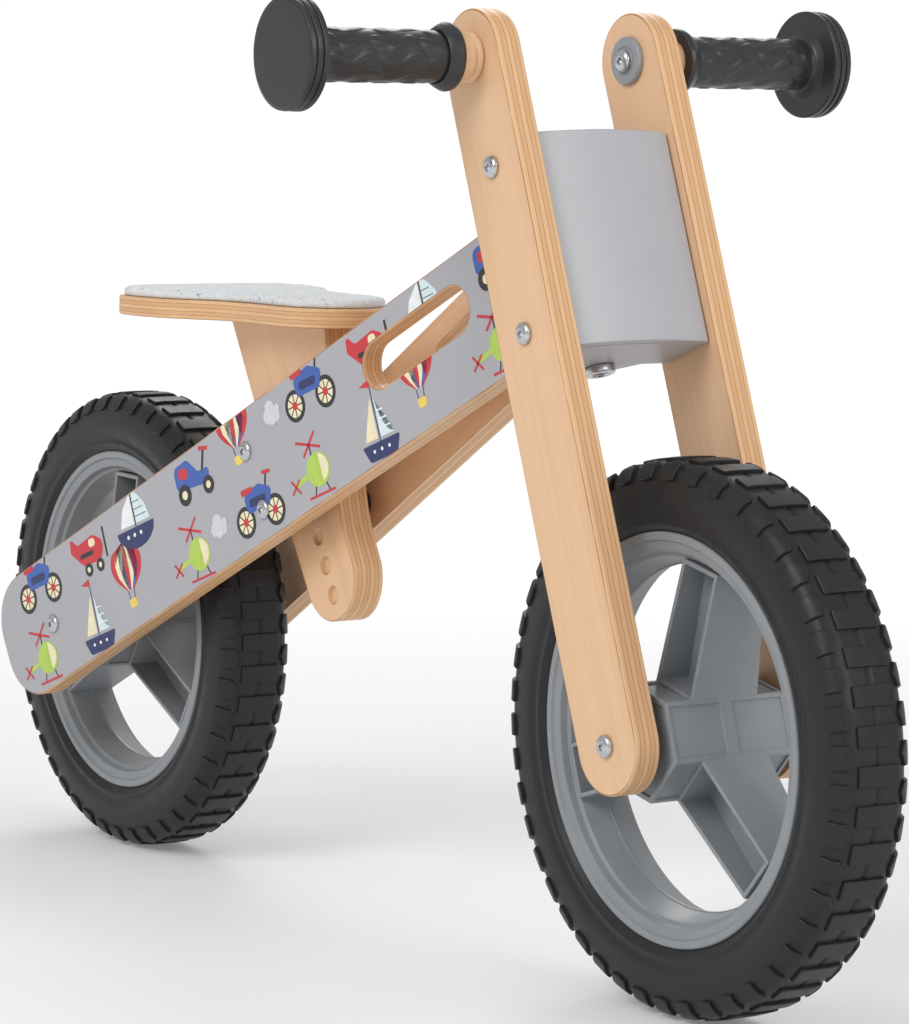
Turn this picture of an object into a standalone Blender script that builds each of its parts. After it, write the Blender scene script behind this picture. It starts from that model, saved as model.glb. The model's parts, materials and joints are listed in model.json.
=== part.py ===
"""Wooden balance bike for a toddler.

Metres, +X the way the bike rolls, +Y to the rider's left, +Z up. The origin is on the ground, midway
between the two axles, in the bike's middle plane.
"""
import math

import bmesh
import bpy
from mathutils import Euler, Vector

# ---------------------------------------------------------------- driving sizes
WHEELBASE = 0.584
TYRE_RADIUS = 0.145
TYRE_HALF_WIDTH = 0.0238
RIM_FLANGE_RADIUS = 0.1072
RIM_FLANGE_HALF_WIDTH = 0.0212
RIM_SEAT_RADIUS = 0.1010
RIM_BORE_RADIUS = 0.0900
HUB_HALF_LENGTH = 0.0380
HUB_CORNER_RADIUS = 0.0315
SPOKE_COUNT = 3
SPOKE_HALF_WIDTH = 0.0153
SPOKE_WALL = 0.0024
SPOKE_WEB = 0.0028
SPOKE_ROOT_INSET = 0.0170
HUB_WALL = 0.0030
HUB_POCKET_DEPTH = 0.0300
FRONT_SPOKE_PHASE = math.radians(78.0)
REAR_SPOKE_PHASE = math.radians(88.0)

AXLE_RADIUS = 0.0040
BEARING_RADIUS = 0.0110
BEARING_WIDTH = 0.0070
AXLE_SPACER_RADIUS = 0.0080

RAKE = math.radians(20.15)
KINGPIN_SETBACK = 0.0220
LEG_GAP = 0.0880
LEG_THICKNESS = 0.0150
LEG_HALF_WIDTH = 0.0257
LEG_LENGTH = 0.3710

CROSSPIECE_BOTTOM = 0.2060
CROSSPIECE_TOP = 0.3230
CROSSPIECE_HEIGHT = 0.0260
CROSSPIECE_REAR = -0.0195
TONGUE_RADIUS = 0.0145
TONGUE_SHOULDER = 0.0260
PLATE_THICKNESS = 0.0050
PLATE_EDGE_FORWARD = 0.0195
PLATE_BOW = 0.0055

KINGPIN_RADIUS = 0.0040
KINGPIN_HEAD_RADIUS = 0.0085
KINGPIN_HEAD_HEIGHT = 0.0040
BUSH_RADIUS = 0.0070
BUSH_FLANGE_RADIUS = 0.0130
BUSH_FLANGE_THICKNESS = 0.0015
BUSH_LENGTH = 0.0140

PANEL_PITCH = math.radians(26.65)
PANEL_TOE_IN = math.radians(6.4)
PANEL_THICKNESS = 0.0140
PANEL_WIDTH = 0.0786
PANEL_REAR_HALF_SPACING = 0.0665
PANEL_REAR_OVERHANG = 0.0580
PANEL_CENTRE_OFFSET = 0.0032
PANEL_END_RADIUS = 0.0320
PANEL_EDGE_ROUND = 0.0012
HEAD_SHOULDER_SETBACK = 0.0260
HEAD_HALF_WIDTH = 0.0152
HEAD_TAIL = 0.0660
SCARF_OUTER_SETBACK = 0.0160
SCARF_INNER_SETBACK = 0.0550

SLOT_LENGTH = 0.1000
SLOT_WIDTH = 0.0270
SLOT_ALONG = 0.4067
SLOT_ABOVE_CENTRE = 0.0114

SEAT_POST_THICKNESS = 0.0200
SEAT_HOLE_RADIUS = 0.0050
SEAT_HOLE_PITCH = 0.0187
SEAT_HOLE_COUNT = 6
SEAT_HOLE_LEAN = math.radians(27.9)
LOWEST_HOLE = (-0.0489, 0.1845)
SEAT_BOLT_HOLES = (3, 5)
SEAT_SLEEVE_RADIUS = 0.0090
SEAT_SPIGOT_LENGTH = 0.0080

SEAT_LENGTH = 0.1980
SEAT_REAR_X = -0.2320
SEAT_BASE_X = -0.1200
SEAT_BASE_HEIGHT = 0.3420
SEAT_TILT = math.radians(0.8)
SEAT_REAR_HALF_WIDTH = 0.0645
SEAT_NOSE_HALF_WIDTH = 0.0345
SEAT_WAIST_X = 0.0830
SEAT_WAIST_SOFTNESS = 0.0115
SEAT_CORNER_RADIUS = 0.0300
SEAT_BOARD_THICKNESS = 0.0115
SEAT_PAD_THICKNESS = 0.0050
SEAT_PAD_INSET = 0.0030

HANDLE_RADIUS = 0.0115
HANDLE_RING_RADIUS = 0.0135
HANDLE_RING_WIDTH = 0.0030
GRIP_START = 0.0730
GRIP_END = 0.1750
GRIP_RADIUS = 0.0140
GRIP_COLLAR_RADIUS = 0.0182
GRIP_COLLAR_WIDTH = 0.0060
GRIP_DISC_RADIUS = 0.0295
GRIP_DISC_WIDTH = 0.0115
GRIP_END_WALL = 0.0040
HANDLE_CAP_RADIUS = 0.0130
HANDLE_CAP_THICKNESS = 0.0030

BOLT_RADIUS = 0.0030
BOLT_HEAD_RADIUS = 0.0060
BOLT_HEAD_HEIGHT = 0.0033
BOLT_SOCKET_RADIUS = 0.0021
LEG_BOLT_INSET = 0.0130
LEG_BOLT_REACH = 0.0150
SPOT_FACE_DEPTH = 0.0010
NUT_GRIP = 0.0020
SCREW_RADIUS = 0.0020
SCREW_HEAD_RADIUS = 0.0040
SCREW_LENGTH = 0.0320

GAP = 0.0003
EDGE_ROUND = 0.0022
WHEEL_STEPS = 40
TURNED_STEPS = 16
BOLT_STEPS = 10

# ---------------------------------------------------------------- places worked out from them
REAR_AXLE = Vector((-WHEELBASE / 2, 0.0, TYRE_RADIUS))
FRONT_AXLE = Vector((WHEELBASE / 2, 0.0, TYRE_RADIUS))
FORK_AHEAD = Vector((math.cos(RAKE), 0.0, math.sin(RAKE)))
FORK_UP = Vector((-math.sin(RAKE), 0.0, math.cos(RAKE)))
KINGPIN_FOOT = FRONT_AXLE - FORK_AHEAD * KINGPIN_SETBACK
LEG_INNER = LEG_GAP / 2
LEG_OUTER = LEG_INNER + LEG_THICKNESS
CROSSPIECE_HALF_LENGTH = LEG_INNER - GAP
HEAD_GAP_BOTTOM = CROSSPIECE_BOTTOM + CROSSPIECE_HEIGHT
HEAD_GAP_TOP = CROSSPIECE_TOP - CROSSPIECE_HEIGHT
HEAD_STACK = 2 * GAP + BUSH_FLANGE_THICKNESS
HEAD_BLOCK_BOTTOM = HEAD_GAP_BOTTOM + HEAD_STACK
HEAD_BLOCK_TOP = HEAD_GAP_TOP - HEAD_STACK
HEAD_MIDDLE = (HEAD_GAP_BOTTOM + HEAD_GAP_TOP) / 2
BOLT_HOLE_RADIUS = BOLT_RADIUS + GAP
AXLE_HOLE_RADIUS = AXLE_RADIUS + GAP
KINGPIN_HOLE_RADIUS = KINGPIN_RADIUS + GAP
LEG_BOLT_HEIGHTS = (CROSSPIECE_BOTTOM + LEG_BOLT_INSET, CROSSPIECE_TOP - LEG_BOLT_INSET)
SIDES = {"right": -1, "left": 1}


def panel_outer_y(x):
    """Distance from the middle plane to a side panel's outer face at x."""
    return PANEL_REAR_HALF_SPACING - (x - REAR_AXLE.x) * math.tan(PANEL_TOE_IN)


def panel_inner_y(x):
    """Distance from the middle plane to a side panel's inner face at x."""
    return panel_outer_y(x) - PANEL_THICKNESS / math.cos(PANEL_TOE_IN)


def panel_seat_y(x):
    """Distance from the middle plane to the spot face under a bolt head in a side panel."""
    return panel_outer_y(x) - SPOT_FACE_DEPTH


def fork_point(ahead, up):
    """World place of a point given ahead of the kingpin and up along it, in the middle plane."""
    return KINGPIN_FOOT + FORK_AHEAD * ahead + FORK_UP * up


def seat_hole(index):
    """World x and z of one height hole, counted up from the lowest."""
    reach = SEAT_HOLE_PITCH * index
    return LOWEST_HOLE[0] - reach * math.sin(SEAT_HOLE_LEAN), LOWEST_HOLE[1] + reach * math.cos(SEAT_HOLE_LEAN)


def seat_under(x):
    """Height of the seat board's underside at x."""
    return SEAT_BASE_HEIGHT - (x - SEAT_BASE_X) * math.tan(SEAT_TILT)


# ---------------------------------------------------------------- materials
def make_material(name, color, roughness, metallic=0.0):
    material = bpy.data.materials.new(name)
    material.use_nodes = True
    shader = material.node_tree.nodes["Principled BSDF"]
    shader.inputs["Base Color"].default_value = (*color, 1.0)
    shader.inputs["Roughness"].default_value = roughness
    shader.inputs["Metallic"].default_value = metallic
    material.diffuse_color = (*color, 1.0)
    return material


FINISHES = {
    "birch": ((0.73, 0.48, 0.29), 0.55, 0.0),
    "birch_dark": ((0.62, 0.40, 0.22), 0.60, 0.0),
    "printed_ply": ((0.39, 0.39, 0.42), 0.50, 0.0),
    "grey_paint": ((0.44, 0.44, 0.46), 0.45, 0.0),
    "rim_plastic": ((0.20, 0.22, 0.23), 0.50, 0.0),
    "tyre_foam": ((0.03, 0.03, 0.032), 0.75, 0.0),
    "grip_rubber": ((0.17, 0.18, 0.19), 0.70, 0.0),
    "felt": ((0.68, 0.70, 0.71), 0.95, 0.0),
    "steel": ((0.62, 0.62, 0.62), 0.25, 1.0),
    "bush_plastic": ((0.06, 0.06, 0.065), 0.50, 0.0),
}


# ---------------------------------------------------------------- helpers
def clear_scene():
    for item in list(bpy.data.objects):
        bpy.data.objects.remove(item, do_unlink=True)


def finish_mesh(bm, name):
    """Turn a bmesh into a mesh with its faces pointing out and its round faces smooth."""
    bmesh.ops.remove_doubles(bm, verts=bm.verts, dist=1e-6)
    bmesh.ops.recalc_face_normals(bm, faces=bm.faces)
    mesh = bpy.data.meshes.new(name)
    bm.to_mesh(mesh)
    bm.free()
    mesh.shade_smooth()
    mesh.set_sharp_from_angle(angle=math.radians(32))
    return mesh


def place(name, mesh, finish=None, parent=None, location=(0, 0, 0), rotation=(0, 0, 0)):
    """Add a mesh to the scene: a sub-part with a finish, or a hidden cutter without one."""
    item = bpy.data.objects.new(name, mesh)
    bpy.context.collection.objects.link(item)
    item.location = location
    item.rotation_euler = rotation
    item.parent = parent
    if finish is None:
        item.hide_render = True
        item.display_type = "WIRE"
    else:
        mesh.materials.append(MATERIALS[finish])
    return item


def make_axis(name, location, rotation=(0, 0, 0), parent=None):
    """An empty whose origin lies on a joint's axis."""
    empty = bpy.data.objects.new(name, None)
    bpy.context.collection.objects.link(empty)
    empty.location = location
    empty.rotation_euler = rotation
    empty.parent = parent
    return empty


def arc(cx, cy, radius, start, end, steps):
    """Points of an arc, both ends included; angles in radians."""
    turn = (end - start) / steps
    return [(cx + radius * math.cos(start + turn * i), cy + radius * math.sin(start + turn * i))
            for i in range(steps + 1)]


def rounded(corners, steps=4):
    """A closed outline with its corners rounded; each corner is (x, y, radius)."""
    outline = []
    for i, (x, y, radius) in enumerate(corners):
        here = Vector((x, y))
        back = Vector(corners[i - 1][:2]) - here
        ahead = Vector(corners[(i + 1) % len(corners)][:2]) - here
        if radius <= 0:
            outline.append((x, y))
            continue
        half = back.angle(ahead) / 2
        cut = min(radius / math.tan(half), 0.48 * back.length, 0.48 * ahead.length)
        radius = cut * math.tan(half)
        centre = here + (back.normalized() + ahead.normalized()).normalized() * (radius / math.sin(half))
        first = here + back.normalized() * cut - centre
        last = here + ahead.normalized() * cut - centre
        start = math.atan2(first.y, first.x)
        sweep = math.atan2(last.y, last.x) - start
        sweep = (sweep + math.pi) % (2 * math.pi) - math.pi
        outline += arc(centre.x, centre.y, radius, start, start + sweep, steps)
    return outline


def prism(name, outline, low, high, plane="xy"):
    """A straight prism on an outline; plane xy rises along z, and plane xz runs along y."""
    bm = bmesh.new()
    def at(u, v, w):
        return (u, v, w) if plane == "xy" else (u, w, v)
    bottom = [bm.verts.new(at(u, v, low)) for u, v in outline]
    top = [bm.verts.new(at(u, v, high)) for u, v in outline]
    bm.faces.new(bottom)
    bm.faces.new(top)
    for i in range(len(outline)):
        j = (i + 1) % len(outline)
        bm.faces.new((bottom[i], bottom[j], top[j], top[i]))
    return finish_mesh(bm, name)


def add_turned(bm, profile, steps, axis, centre=(0, 0, 0)):
    """Revolve a closed profile of (radius, distance along the axis) into a bmesh."""
    rings = []
    for radius, along in profile:
        count = 1 if radius == 0 else steps
        ring = []
        for k in range(count):
            turn = 2 * math.pi * k / steps
            u, v = radius * math.cos(turn), radius * math.sin(turn)
            spot = {"x": (along, u, v), "y": (u, along, v), "z": (u, v, along)}[axis]
            ring.append(bm.verts.new(Vector(spot) + Vector(centre)))
        rings.append(ring)
    for i, ring in enumerate(rings):
        follow = rings[(i + 1) % len(rings)]
        if len(ring) == 1 and len(follow) == 1:
            continue
        for k in range(steps):
            n = (k + 1) % steps
            corners = [ring[k % len(ring)], ring[n % len(ring)], follow[n % len(follow)], follow[k % len(follow)]]
            bm.faces.new(list(dict.fromkeys(corners)))


def turned(name, profile, steps=BOLT_STEPS, axis="y", centres=((0, 0, 0),)):
    """A turned shape; several centres give a cutter with as many copies of it."""
    bm = bmesh.new()
    for centre in centres:
        add_turned(bm, profile, steps, axis, centre)
    return finish_mesh(bm, name)


def rod(radius, start, end):
    """Profile of a plain solid cylinder."""
    return [(0, start), (radius, start), (radius, end), (0, end)]


def tube(outer, inner, start, end):
    """Profile of a plain tube."""
    return [(inner, start), (outer, start), (outer, end), (inner, end)]


def button_bolt(head_base, tip, side, head_radius=BOLT_HEAD_RADIUS, head_height=BOLT_HEAD_HEIGHT,
                shank_radius=BOLT_RADIUS):
    """Profile of a domed bolt along y; its head stands on head_base, away from the middle plane."""
    out = side * head_height
    socket_floor = head_base + 0.45 * out
    socket = BOLT_SOCKET_RADIUS
    return [(0, tip), (shank_radius, tip), (shank_radius, head_base), (head_radius, head_base),
            (head_radius, head_base + 0.35 * out), (0.62 * head_radius, head_base + out),
            (socket, head_base + out), (socket, socket_floor), (0, socket_floor)]


def cap_nut(head_base, side, shank_radius=BOLT_RADIUS):
    """Profile of a domed nut along y, bored for the end of a bolt's shank."""
    out = side * BOLT_HEAD_HEIGHT
    floor = head_base + side * NUT_GRIP
    bore = shank_radius + GAP
    return [(bore, head_base), (BOLT_HEAD_RADIUS, head_base), (BOLT_HEAD_RADIUS, head_base + 0.4 * out),
            (0.6 * BOLT_HEAD_RADIUS, head_base + out), (0, head_base + out), (0, floor), (bore, floor)]


def boolean(target, cutter, operation="DIFFERENCE"):
    modifier = target.modifiers.new(cutter.name, "BOOLEAN")
    modifier.operation = operation
    modifier.solver = "EXACT"
    modifier.object = cutter
    return modifier


def bevel(target, width, segments=2, angle=50):
    modifier = target.modifiers.new("rounded_edges", "BEVEL")
    modifier.width = width
    modifier.segments = segments
    modifier.limit_method = "ANGLE"
    modifier.angle_limit = math.radians(angle)
    modifier.harden_normals = False
    return modifier


def drill(name, radius, places, reach=0.2, parent=None):
    """A cutter of round holes along y, one at each (x, z) place."""
    centres = [(x, 0, z) for x, z in places]
    return place(name, turned(name, rod(radius, -reach, reach), centres=centres), parent=parent)


# ---------------------------------------------------------------- wheels
def tyre_profile():
    """Solid foam tyre: it sits in the rim's channel and bulges over both flanges."""
    seat = RIM_SEAT_RADIUS + GAP
    lip = RIM_FLANGE_RADIUS + GAP
    channel = RIM_FLANGE_HALF_WIDTH - 0.0030 - GAP
    wall = TYRE_RADIUS - lip
    half = [(seat, channel), (lip, channel), (lip, RIM_FLANGE_HALF_WIDTH - 0.0006),
            (lip + 0.30 * wall, TYRE_HALF_WIDTH), (lip + 0.66 * wall, 0.95 * TYRE_HALF_WIDTH),
            (lip + 0.92 * wall, 0.76 * TYRE_HALF_WIDTH), (TYRE_RADIUS, 0.36 * TYRE_HALF_WIDTH)]
    return half + [(radius, -y) for radius, y in reversed(half)]


def barrel_profile():
    """Rim barrel: two flanges with a channel for the tyre, and a stepped cone inside each flange."""
    width = RIM_FLANGE_HALF_WIDTH
    half = [(RIM_SEAT_RADIUS, width - 0.0030), (RIM_FLANGE_RADIUS, width - 0.0030), (RIM_FLANGE_RADIUS, width),
            (RIM_FLANGE_RADIUS - 0.0035, width), (RIM_BORE_RADIUS + 0.0050, 0.76 * width),
            (RIM_BORE_RADIUS, 0.24 * width)]
    return half + [(radius, -y) for radius, y in reversed(half)]


def hexagon(radius, phase):
    return [(radius * math.cos(phase + k * math.pi / 3), radius * math.sin(phase + k * math.pi / 3))
            for k in range(6)]


def spoke_mesh(name, root, tip, half_width, root_depth, tip_depth, near=None):
    """A spoke along +x that grows thinner towards its tip; near starts it off the middle plane."""
    bm = bmesh.new()
    corners = []
    for x, depth in ((root, root_depth), (tip, tip_depth)):
        low = -depth if near is None else near
        corners.append([bm.verts.new((x, y, z)) for y, z in
                        ((low, -half_width), (depth, -half_width), (depth, half_width), (low, half_width))])
    first, last = corners
    bm.faces.new(first)
    bm.faces.new(last)
    for i in range(4):
        j = (i + 1) % 4
        bm.faces.new((first[i], first[j], last[j], last[i]))
    return finish_mesh(bm, name)


def make_wheel(which, axle, phase, location):
    """A moulded rim with boxed spokes, its tyre and its two bearings."""
    place(f"{which}_tyre", turned(f"{which}_tyre", tyre_profile(), WHEEL_STEPS), "tyre_foam", axle, location)
    outer_end = HUB_HALF_LENGTH - GAP
    for label, side in SIDES.items():
        profile = tube(BEARING_RADIUS, AXLE_HOLE_RADIUS, side * (outer_end - BEARING_WIDTH), side * outer_end)
        place(f"{which}_bearing_{label}", turned("bearing", profile, TURNED_STEPS), "steel", axle, location)

    rim = place(f"{which}_rim", turned(f"{which}_rim", barrel_profile(), WHEEL_STEPS), "rim_plastic", axle, location)
    hub = prism(f"{which}_hub", hexagon(HUB_CORNER_RADIUS, phase + math.pi / 6), -HUB_HALF_LENGTH,
                HUB_HALF_LENGTH, "xz")
    boolean(rim, place(f"{which}_hub", hub, None, axle, location), "UNION")
    hub_flat = HUB_CORNER_RADIUS * math.cos(math.pi / 6)
    middle = (RIM_SEAT_RADIUS + RIM_BORE_RADIUS) / 2
    root_depth = HUB_HALF_LENGTH - SPOKE_ROOT_INSET
    tip_depth = 0.74 * RIM_FLANGE_HALF_WIDTH
    spoke_turns = [(0, -phase - 2 * math.pi * k / SPOKE_COUNT, 0) for k in range(SPOKE_COUNT)]
    for k, turn in enumerate(spoke_turns):
        mesh = spoke_mesh(f"{which}_spoke", 0.8 * hub_flat, middle, SPOKE_HALF_WIDTH, root_depth, tip_depth)
        boolean(rim, place(f"{which}_spoke_{k}", mesh, None, axle, location, turn), "UNION")
    for k, turn in enumerate(spoke_turns):
        for side in SIDES.values():
            mesh = spoke_mesh(f"{which}_pocket", hub_flat + 0.0006, RIM_BORE_RADIUS - SPOKE_WALL,
                              SPOKE_HALF_WIDTH - SPOKE_WALL, side * 0.05, side * 0.05,
                              side * SPOKE_WEB / 2)
            boolean(rim, place(f"{which}_pocket_{k}_{side}", mesh, None, axle, location, turn))
    tube_radius = BEARING_RADIUS + GAP + HUB_WALL
    for side in SIDES.values():
        pocket = prism(f"{which}_hub_pocket", hexagon(HUB_CORNER_RADIUS - HUB_WALL, phase + math.pi / 6),
                       side * (HUB_HALF_LENGTH - HUB_POCKET_DEPTH), side * 0.05, "xz")
        pocket_item = place(f"{which}_hub_pocket_{side}", pocket, None, axle, location)
        keep = turned(f"{which}_hub_tube", rod(tube_radius, -0.06, 0.06), TURNED_STEPS)
        boolean(pocket_item, place(f"{which}_hub_tube_{side}", keep, None, axle, location))
        boolean(rim, pocket_item)
    seat = HUB_HALF_LENGTH - BEARING_WIDTH - 2 * GAP
    core = BEARING_RADIUS - 0.0030
    bore = [(0, -0.06), (BEARING_RADIUS + GAP, -0.06), (BEARING_RADIUS + GAP, -seat), (core, -seat),
            (core, seat), (BEARING_RADIUS + GAP, seat), (BEARING_RADIUS + GAP, 0.06), (0, 0.06)]
    boolean(rim, place(f"{which}_bore", turned(f"{which}_bore", bore, TURNED_STEPS), None, axle, location))


def axle_set(which, parent, location, head_base, spacer_end, keepouts=None):
    """Axle bolt, its nut, and the two spacers between the hub and what carries the axle."""
    tip = head_base + NUT_GRIP - GAP
    bolt = turned(f"{which}_axle_bolt", button_bolt(-head_base, tip, -1, shank_radius=AXLE_RADIUS))
    place(f"{which}_axle_bolt", bolt, "steel", parent, location)
    nut = turned(f"{which}_axle_nut", cap_nut(head_base, 1, AXLE_RADIUS))
    place(f"{which}_axle_nut", nut, "steel", parent, location)
    for label, side in SIDES.items():
        profile = tube(AXLE_SPACER_RADIUS, AXLE_HOLE_RADIUS, side * (HUB_HALF_LENGTH + GAP), side * spacer_end)
        spacer = place(f"{which}_axle_spacer_{label}", turned("spacer", profile, TURNED_STEPS), "bush_plastic", parent,
                       location)
        if keepouts:
            boolean(spacer, keepouts[label])


# ---------------------------------------------------------------- frame
def panel_frame_point(point):
    """A world point as (distance along the board's length and width directions) in a panel's own plane."""
    return (point.x - REAR_AXLE.x) / math.cos(PANEL_TOE_IN), point.z - REAR_AXLE.z


def panel_point(along, across):
    """A point given along the board's centre line from the axle and across it, in the panel's plane."""
    across += PANEL_CENTRE_OFFSET
    return (along * math.cos(PANEL_PITCH) - across * math.sin(PANEL_PITCH),
            along * math.sin(PANEL_PITCH) + across * math.cos(PANEL_PITCH))


def line_meeting(start, direction, origin, heading):
    """Where two lines in a plane meet."""
    cross = direction.x * heading.y - direction.y * heading.x
    offset = origin - start
    reach = (offset.x * heading.y - offset.y * heading.x) / cross
    return start + direction * reach


def panel_outline():
    """Board with a round rear end, cut down in front to pass between the fork's crosspieces."""
    half = PANEL_WIDTH / 2
    board = Vector(panel_point(1, 0)) - Vector(panel_point(0, 0))
    trim = []
    for height, edge in ((HEAD_BLOCK_BOTTOM, -half), (HEAD_BLOCK_TOP, half)):
        shoulder = Vector(panel_frame_point(fork_point(-HEAD_SHOULDER_SETBACK, height)))
        above = Vector(panel_frame_point(fork_point(-HEAD_SHOULDER_SETBACK, height + 0.1)))
        front = Vector(panel_frame_point(fork_point(HEAD_SHOULDER_SETBACK, height)))
        edge_start = Vector(panel_point(0, edge))
        step = line_meeting(shoulder, (above - shoulder).normalized(), edge_start, board)
        trim.append((step, shoulder, front))
    (low_step, low_shoulder, low_front), (high_step, high_shoulder, high_front) = trim
    low_rear = panel_point(-PANEL_REAR_OVERHANG, -half)
    high_rear = panel_point(-PANEL_REAR_OVERHANG, half)
    corners = [(*low_rear, PANEL_END_RADIUS), (*low_step, 0.010), (*low_shoulder, 0.003), (*low_front, 0),
               (*high_front, 0), (*high_shoulder, 0.002), (*high_step, 0.008), (*high_rear, PANEL_END_RADIUS)]
    return rounded(corners, 5)


def slot_outline():
    """Stadium-shaped carrying slot along the board."""
    radius = SLOT_WIDTH / 2
    points = []
    for end, start in ((1, -math.pi / 2), (-1, math.pi / 2)):
        x, y = panel_point(SLOT_ALONG + end * (SLOT_LENGTH / 2 - radius), SLOT_ABOVE_CENTRE)
        points += arc(x, y, radius, start + PANEL_PITCH, start + PANEL_PITCH + math.pi, 6)
    return points


def panel_keepout(label, side):
    """Cutter with a face just inside a panel's inner face; it reaches outwards."""
    inner = PANEL_THICKNESS + GAP
    low, high = sorted((-side * inner, side * 0.06))
    box = prism("keepout", [(-0.15, -0.10), (0.60, -0.10), (0.60, 0.40), (-0.15, 0.40)], low, high, "xz")
    return place(f"keepout_{label}", box, None, None, (REAR_AXLE.x, side * PANEL_REAR_HALF_SPACING, REAR_AXLE.z),
                 (0, 0, -side * PANEL_TOE_IN))


def scarf_cutter(name, side, forward):
    """Cutter ahead of the sloping end where a panel meets the head block."""
    middle = fork_point(0, HEAD_MIDDLE).x
    outer_x, inner_x = middle - SCARF_OUTER_SETBACK, middle - SCARF_INNER_SETBACK
    outer = Vector((outer_x, side * panel_outer_y(outer_x)))
    inner = Vector((inner_x, side * panel_inner_y(inner_x)))
    along = (outer - inner).normalized()
    normal = Vector((along.y, -along.x)) * side
    start = inner + normal * forward
    outline = [start - along * 0.02, start + along * 0.15, start + along * 0.15 + normal * 0.10,
               start - along * 0.02 + normal * 0.10]
    return place(name, prism(name, [tuple(p) for p in outline], 0.15, 0.60))


def head_bolt_places():
    """World x and z of the two bolts through the panels and the head block."""
    middle = fork_point(-0.0400, HEAD_MIDDLE)
    return [(middle.x + reach * FORK_UP.x, middle.z + reach * FORK_UP.z) for reach in (-0.018, 0.018)]


def make_panels(keepouts):
    """Both boards, with their slot, bolt holes and the spot faces under the bolt heads."""
    holes = [(REAR_AXLE.x, REAR_AXLE.z, AXLE_HOLE_RADIUS)]
    for x, z in [seat_hole(i) for i in SEAT_BOLT_HOLES] + head_bolt_places():
        holes.append((x, z, BOLT_HOLE_RADIUS))
    for label, side in SIDES.items():
        low, high = sorted((0.0, -side * PANEL_THICKNESS))
        spot = (REAR_AXLE.x, side * PANEL_REAR_HALF_SPACING, REAR_AXLE.z)
        turn = (0, 0, -side * PANEL_TOE_IN)
        panel = place(f"side_panel_{label}", prism("panel", panel_outline(), low, high, "xz"), "printed_ply",
                      None, spot, turn)
        bevel(panel, PANEL_EDGE_ROUND, 1)
        slot = prism("slot", slot_outline(), -0.03, 0.03, "xz")
        boolean(panel, place(f"slot_cutter_{label}", slot, None, None, spot, turn))
        boolean(panel, scarf_cutter(f"scarf_{label}", side, 0.0))
        for number, (x, z, radius) in enumerate(holes):
            base = side * panel_seat_y(x)
            spot_radius = BOLT_HEAD_RADIUS + 2 * GAP
            stepped = [(0, 0), (radius, 0), (radius, base), (spot_radius, base), (spot_radius, side * 0.1),
                       (0, side * 0.1)]
            mesh = turned("stepped_drill", stepped)
            boolean(panel, place(f"stepped_drill_{label}_{number}", mesh, None, None, (x, 0, z)))

    head_block(keepouts)


def head_block(keepouts):
    """Block on the steering axis: a round nose, and a tail that tapers between the two boards."""
    fork_turn = (0, -RAKE, 0)
    half = HEAD_HALF_WIDTH
    outline = arc(0, 0, half, -math.pi / 2, math.pi / 2, 12) + [(-HEAD_TAIL, half), (-HEAD_TAIL, -half)]
    block = place("head_block", prism("head_block", outline, HEAD_BLOCK_BOTTOM, HEAD_BLOCK_TOP), "birch",
                  None, KINGPIN_FOOT, fork_turn)
    for label, keepout in keepouts.items():
        notch = place(f"notch_{label}", keepout.data, None, None, keepout.location, keepout.rotation_euler)
        boolean(notch, scarf_cutter(f"scarf_gap_{label}", SIDES[label], GAP))
        boolean(block, notch)
    seat = BUSH_LENGTH + GAP
    bore = [(0, 0.1), (BUSH_RADIUS + GAP, 0.1), (BUSH_RADIUS + GAP, HEAD_BLOCK_BOTTOM + seat),
            (KINGPIN_HOLE_RADIUS, HEAD_BLOCK_BOTTOM + seat), (KINGPIN_HOLE_RADIUS, HEAD_BLOCK_TOP - seat),
            (BUSH_RADIUS + GAP, HEAD_BLOCK_TOP - seat), (BUSH_RADIUS + GAP, 0.4), (0, 0.4)]
    boolean(block, place("head_bore", turned("head_bore", bore, TURNED_STEPS, "z"), None, None, KINGPIN_FOOT, fork_turn))
    boolean(block, drill("head_bolt_drill", BOLT_HOLE_RADIUS, head_bolt_places()))
    for label, end, way in (("lower", HEAD_BLOCK_BOTTOM, -1), ("upper", HEAD_BLOCK_TOP, 1)):
        face = end + way * GAP
        bush = [(KINGPIN_HOLE_RADIUS, face + way * BUSH_FLANGE_THICKNESS),
                (BUSH_FLANGE_RADIUS, face + way * BUSH_FLANGE_THICKNESS), (BUSH_FLANGE_RADIUS, face),
                (BUSH_RADIUS, face), (BUSH_RADIUS, end - way * BUSH_LENGTH),
                (KINGPIN_HOLE_RADIUS, end - way * BUSH_LENGTH)]
        place(f"head_bush_{label}", turned(f"head_bush_{label}", bush, TURNED_STEPS, "z"), "bush_plastic", None,
              KINGPIN_FOOT, fork_turn)


def through_bolts(name, places):
    """Bolts through both panels, lowest first, with heads on the right side and nuts on the left."""
    for level, (x, z) in zip(("lower", "upper"), places):
        base = panel_seat_y(x) + GAP
        bolt = turned("bolt", button_bolt(-base, base + NUT_GRIP - GAP, -1))
        place(f"{name}_bolt_{level}", bolt, "steel", None, (x, 0, z))
        place(f"{name}_nut_{level}", turned("nut", cap_nut(base, 1)), "steel", None, (x, 0, z))


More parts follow.
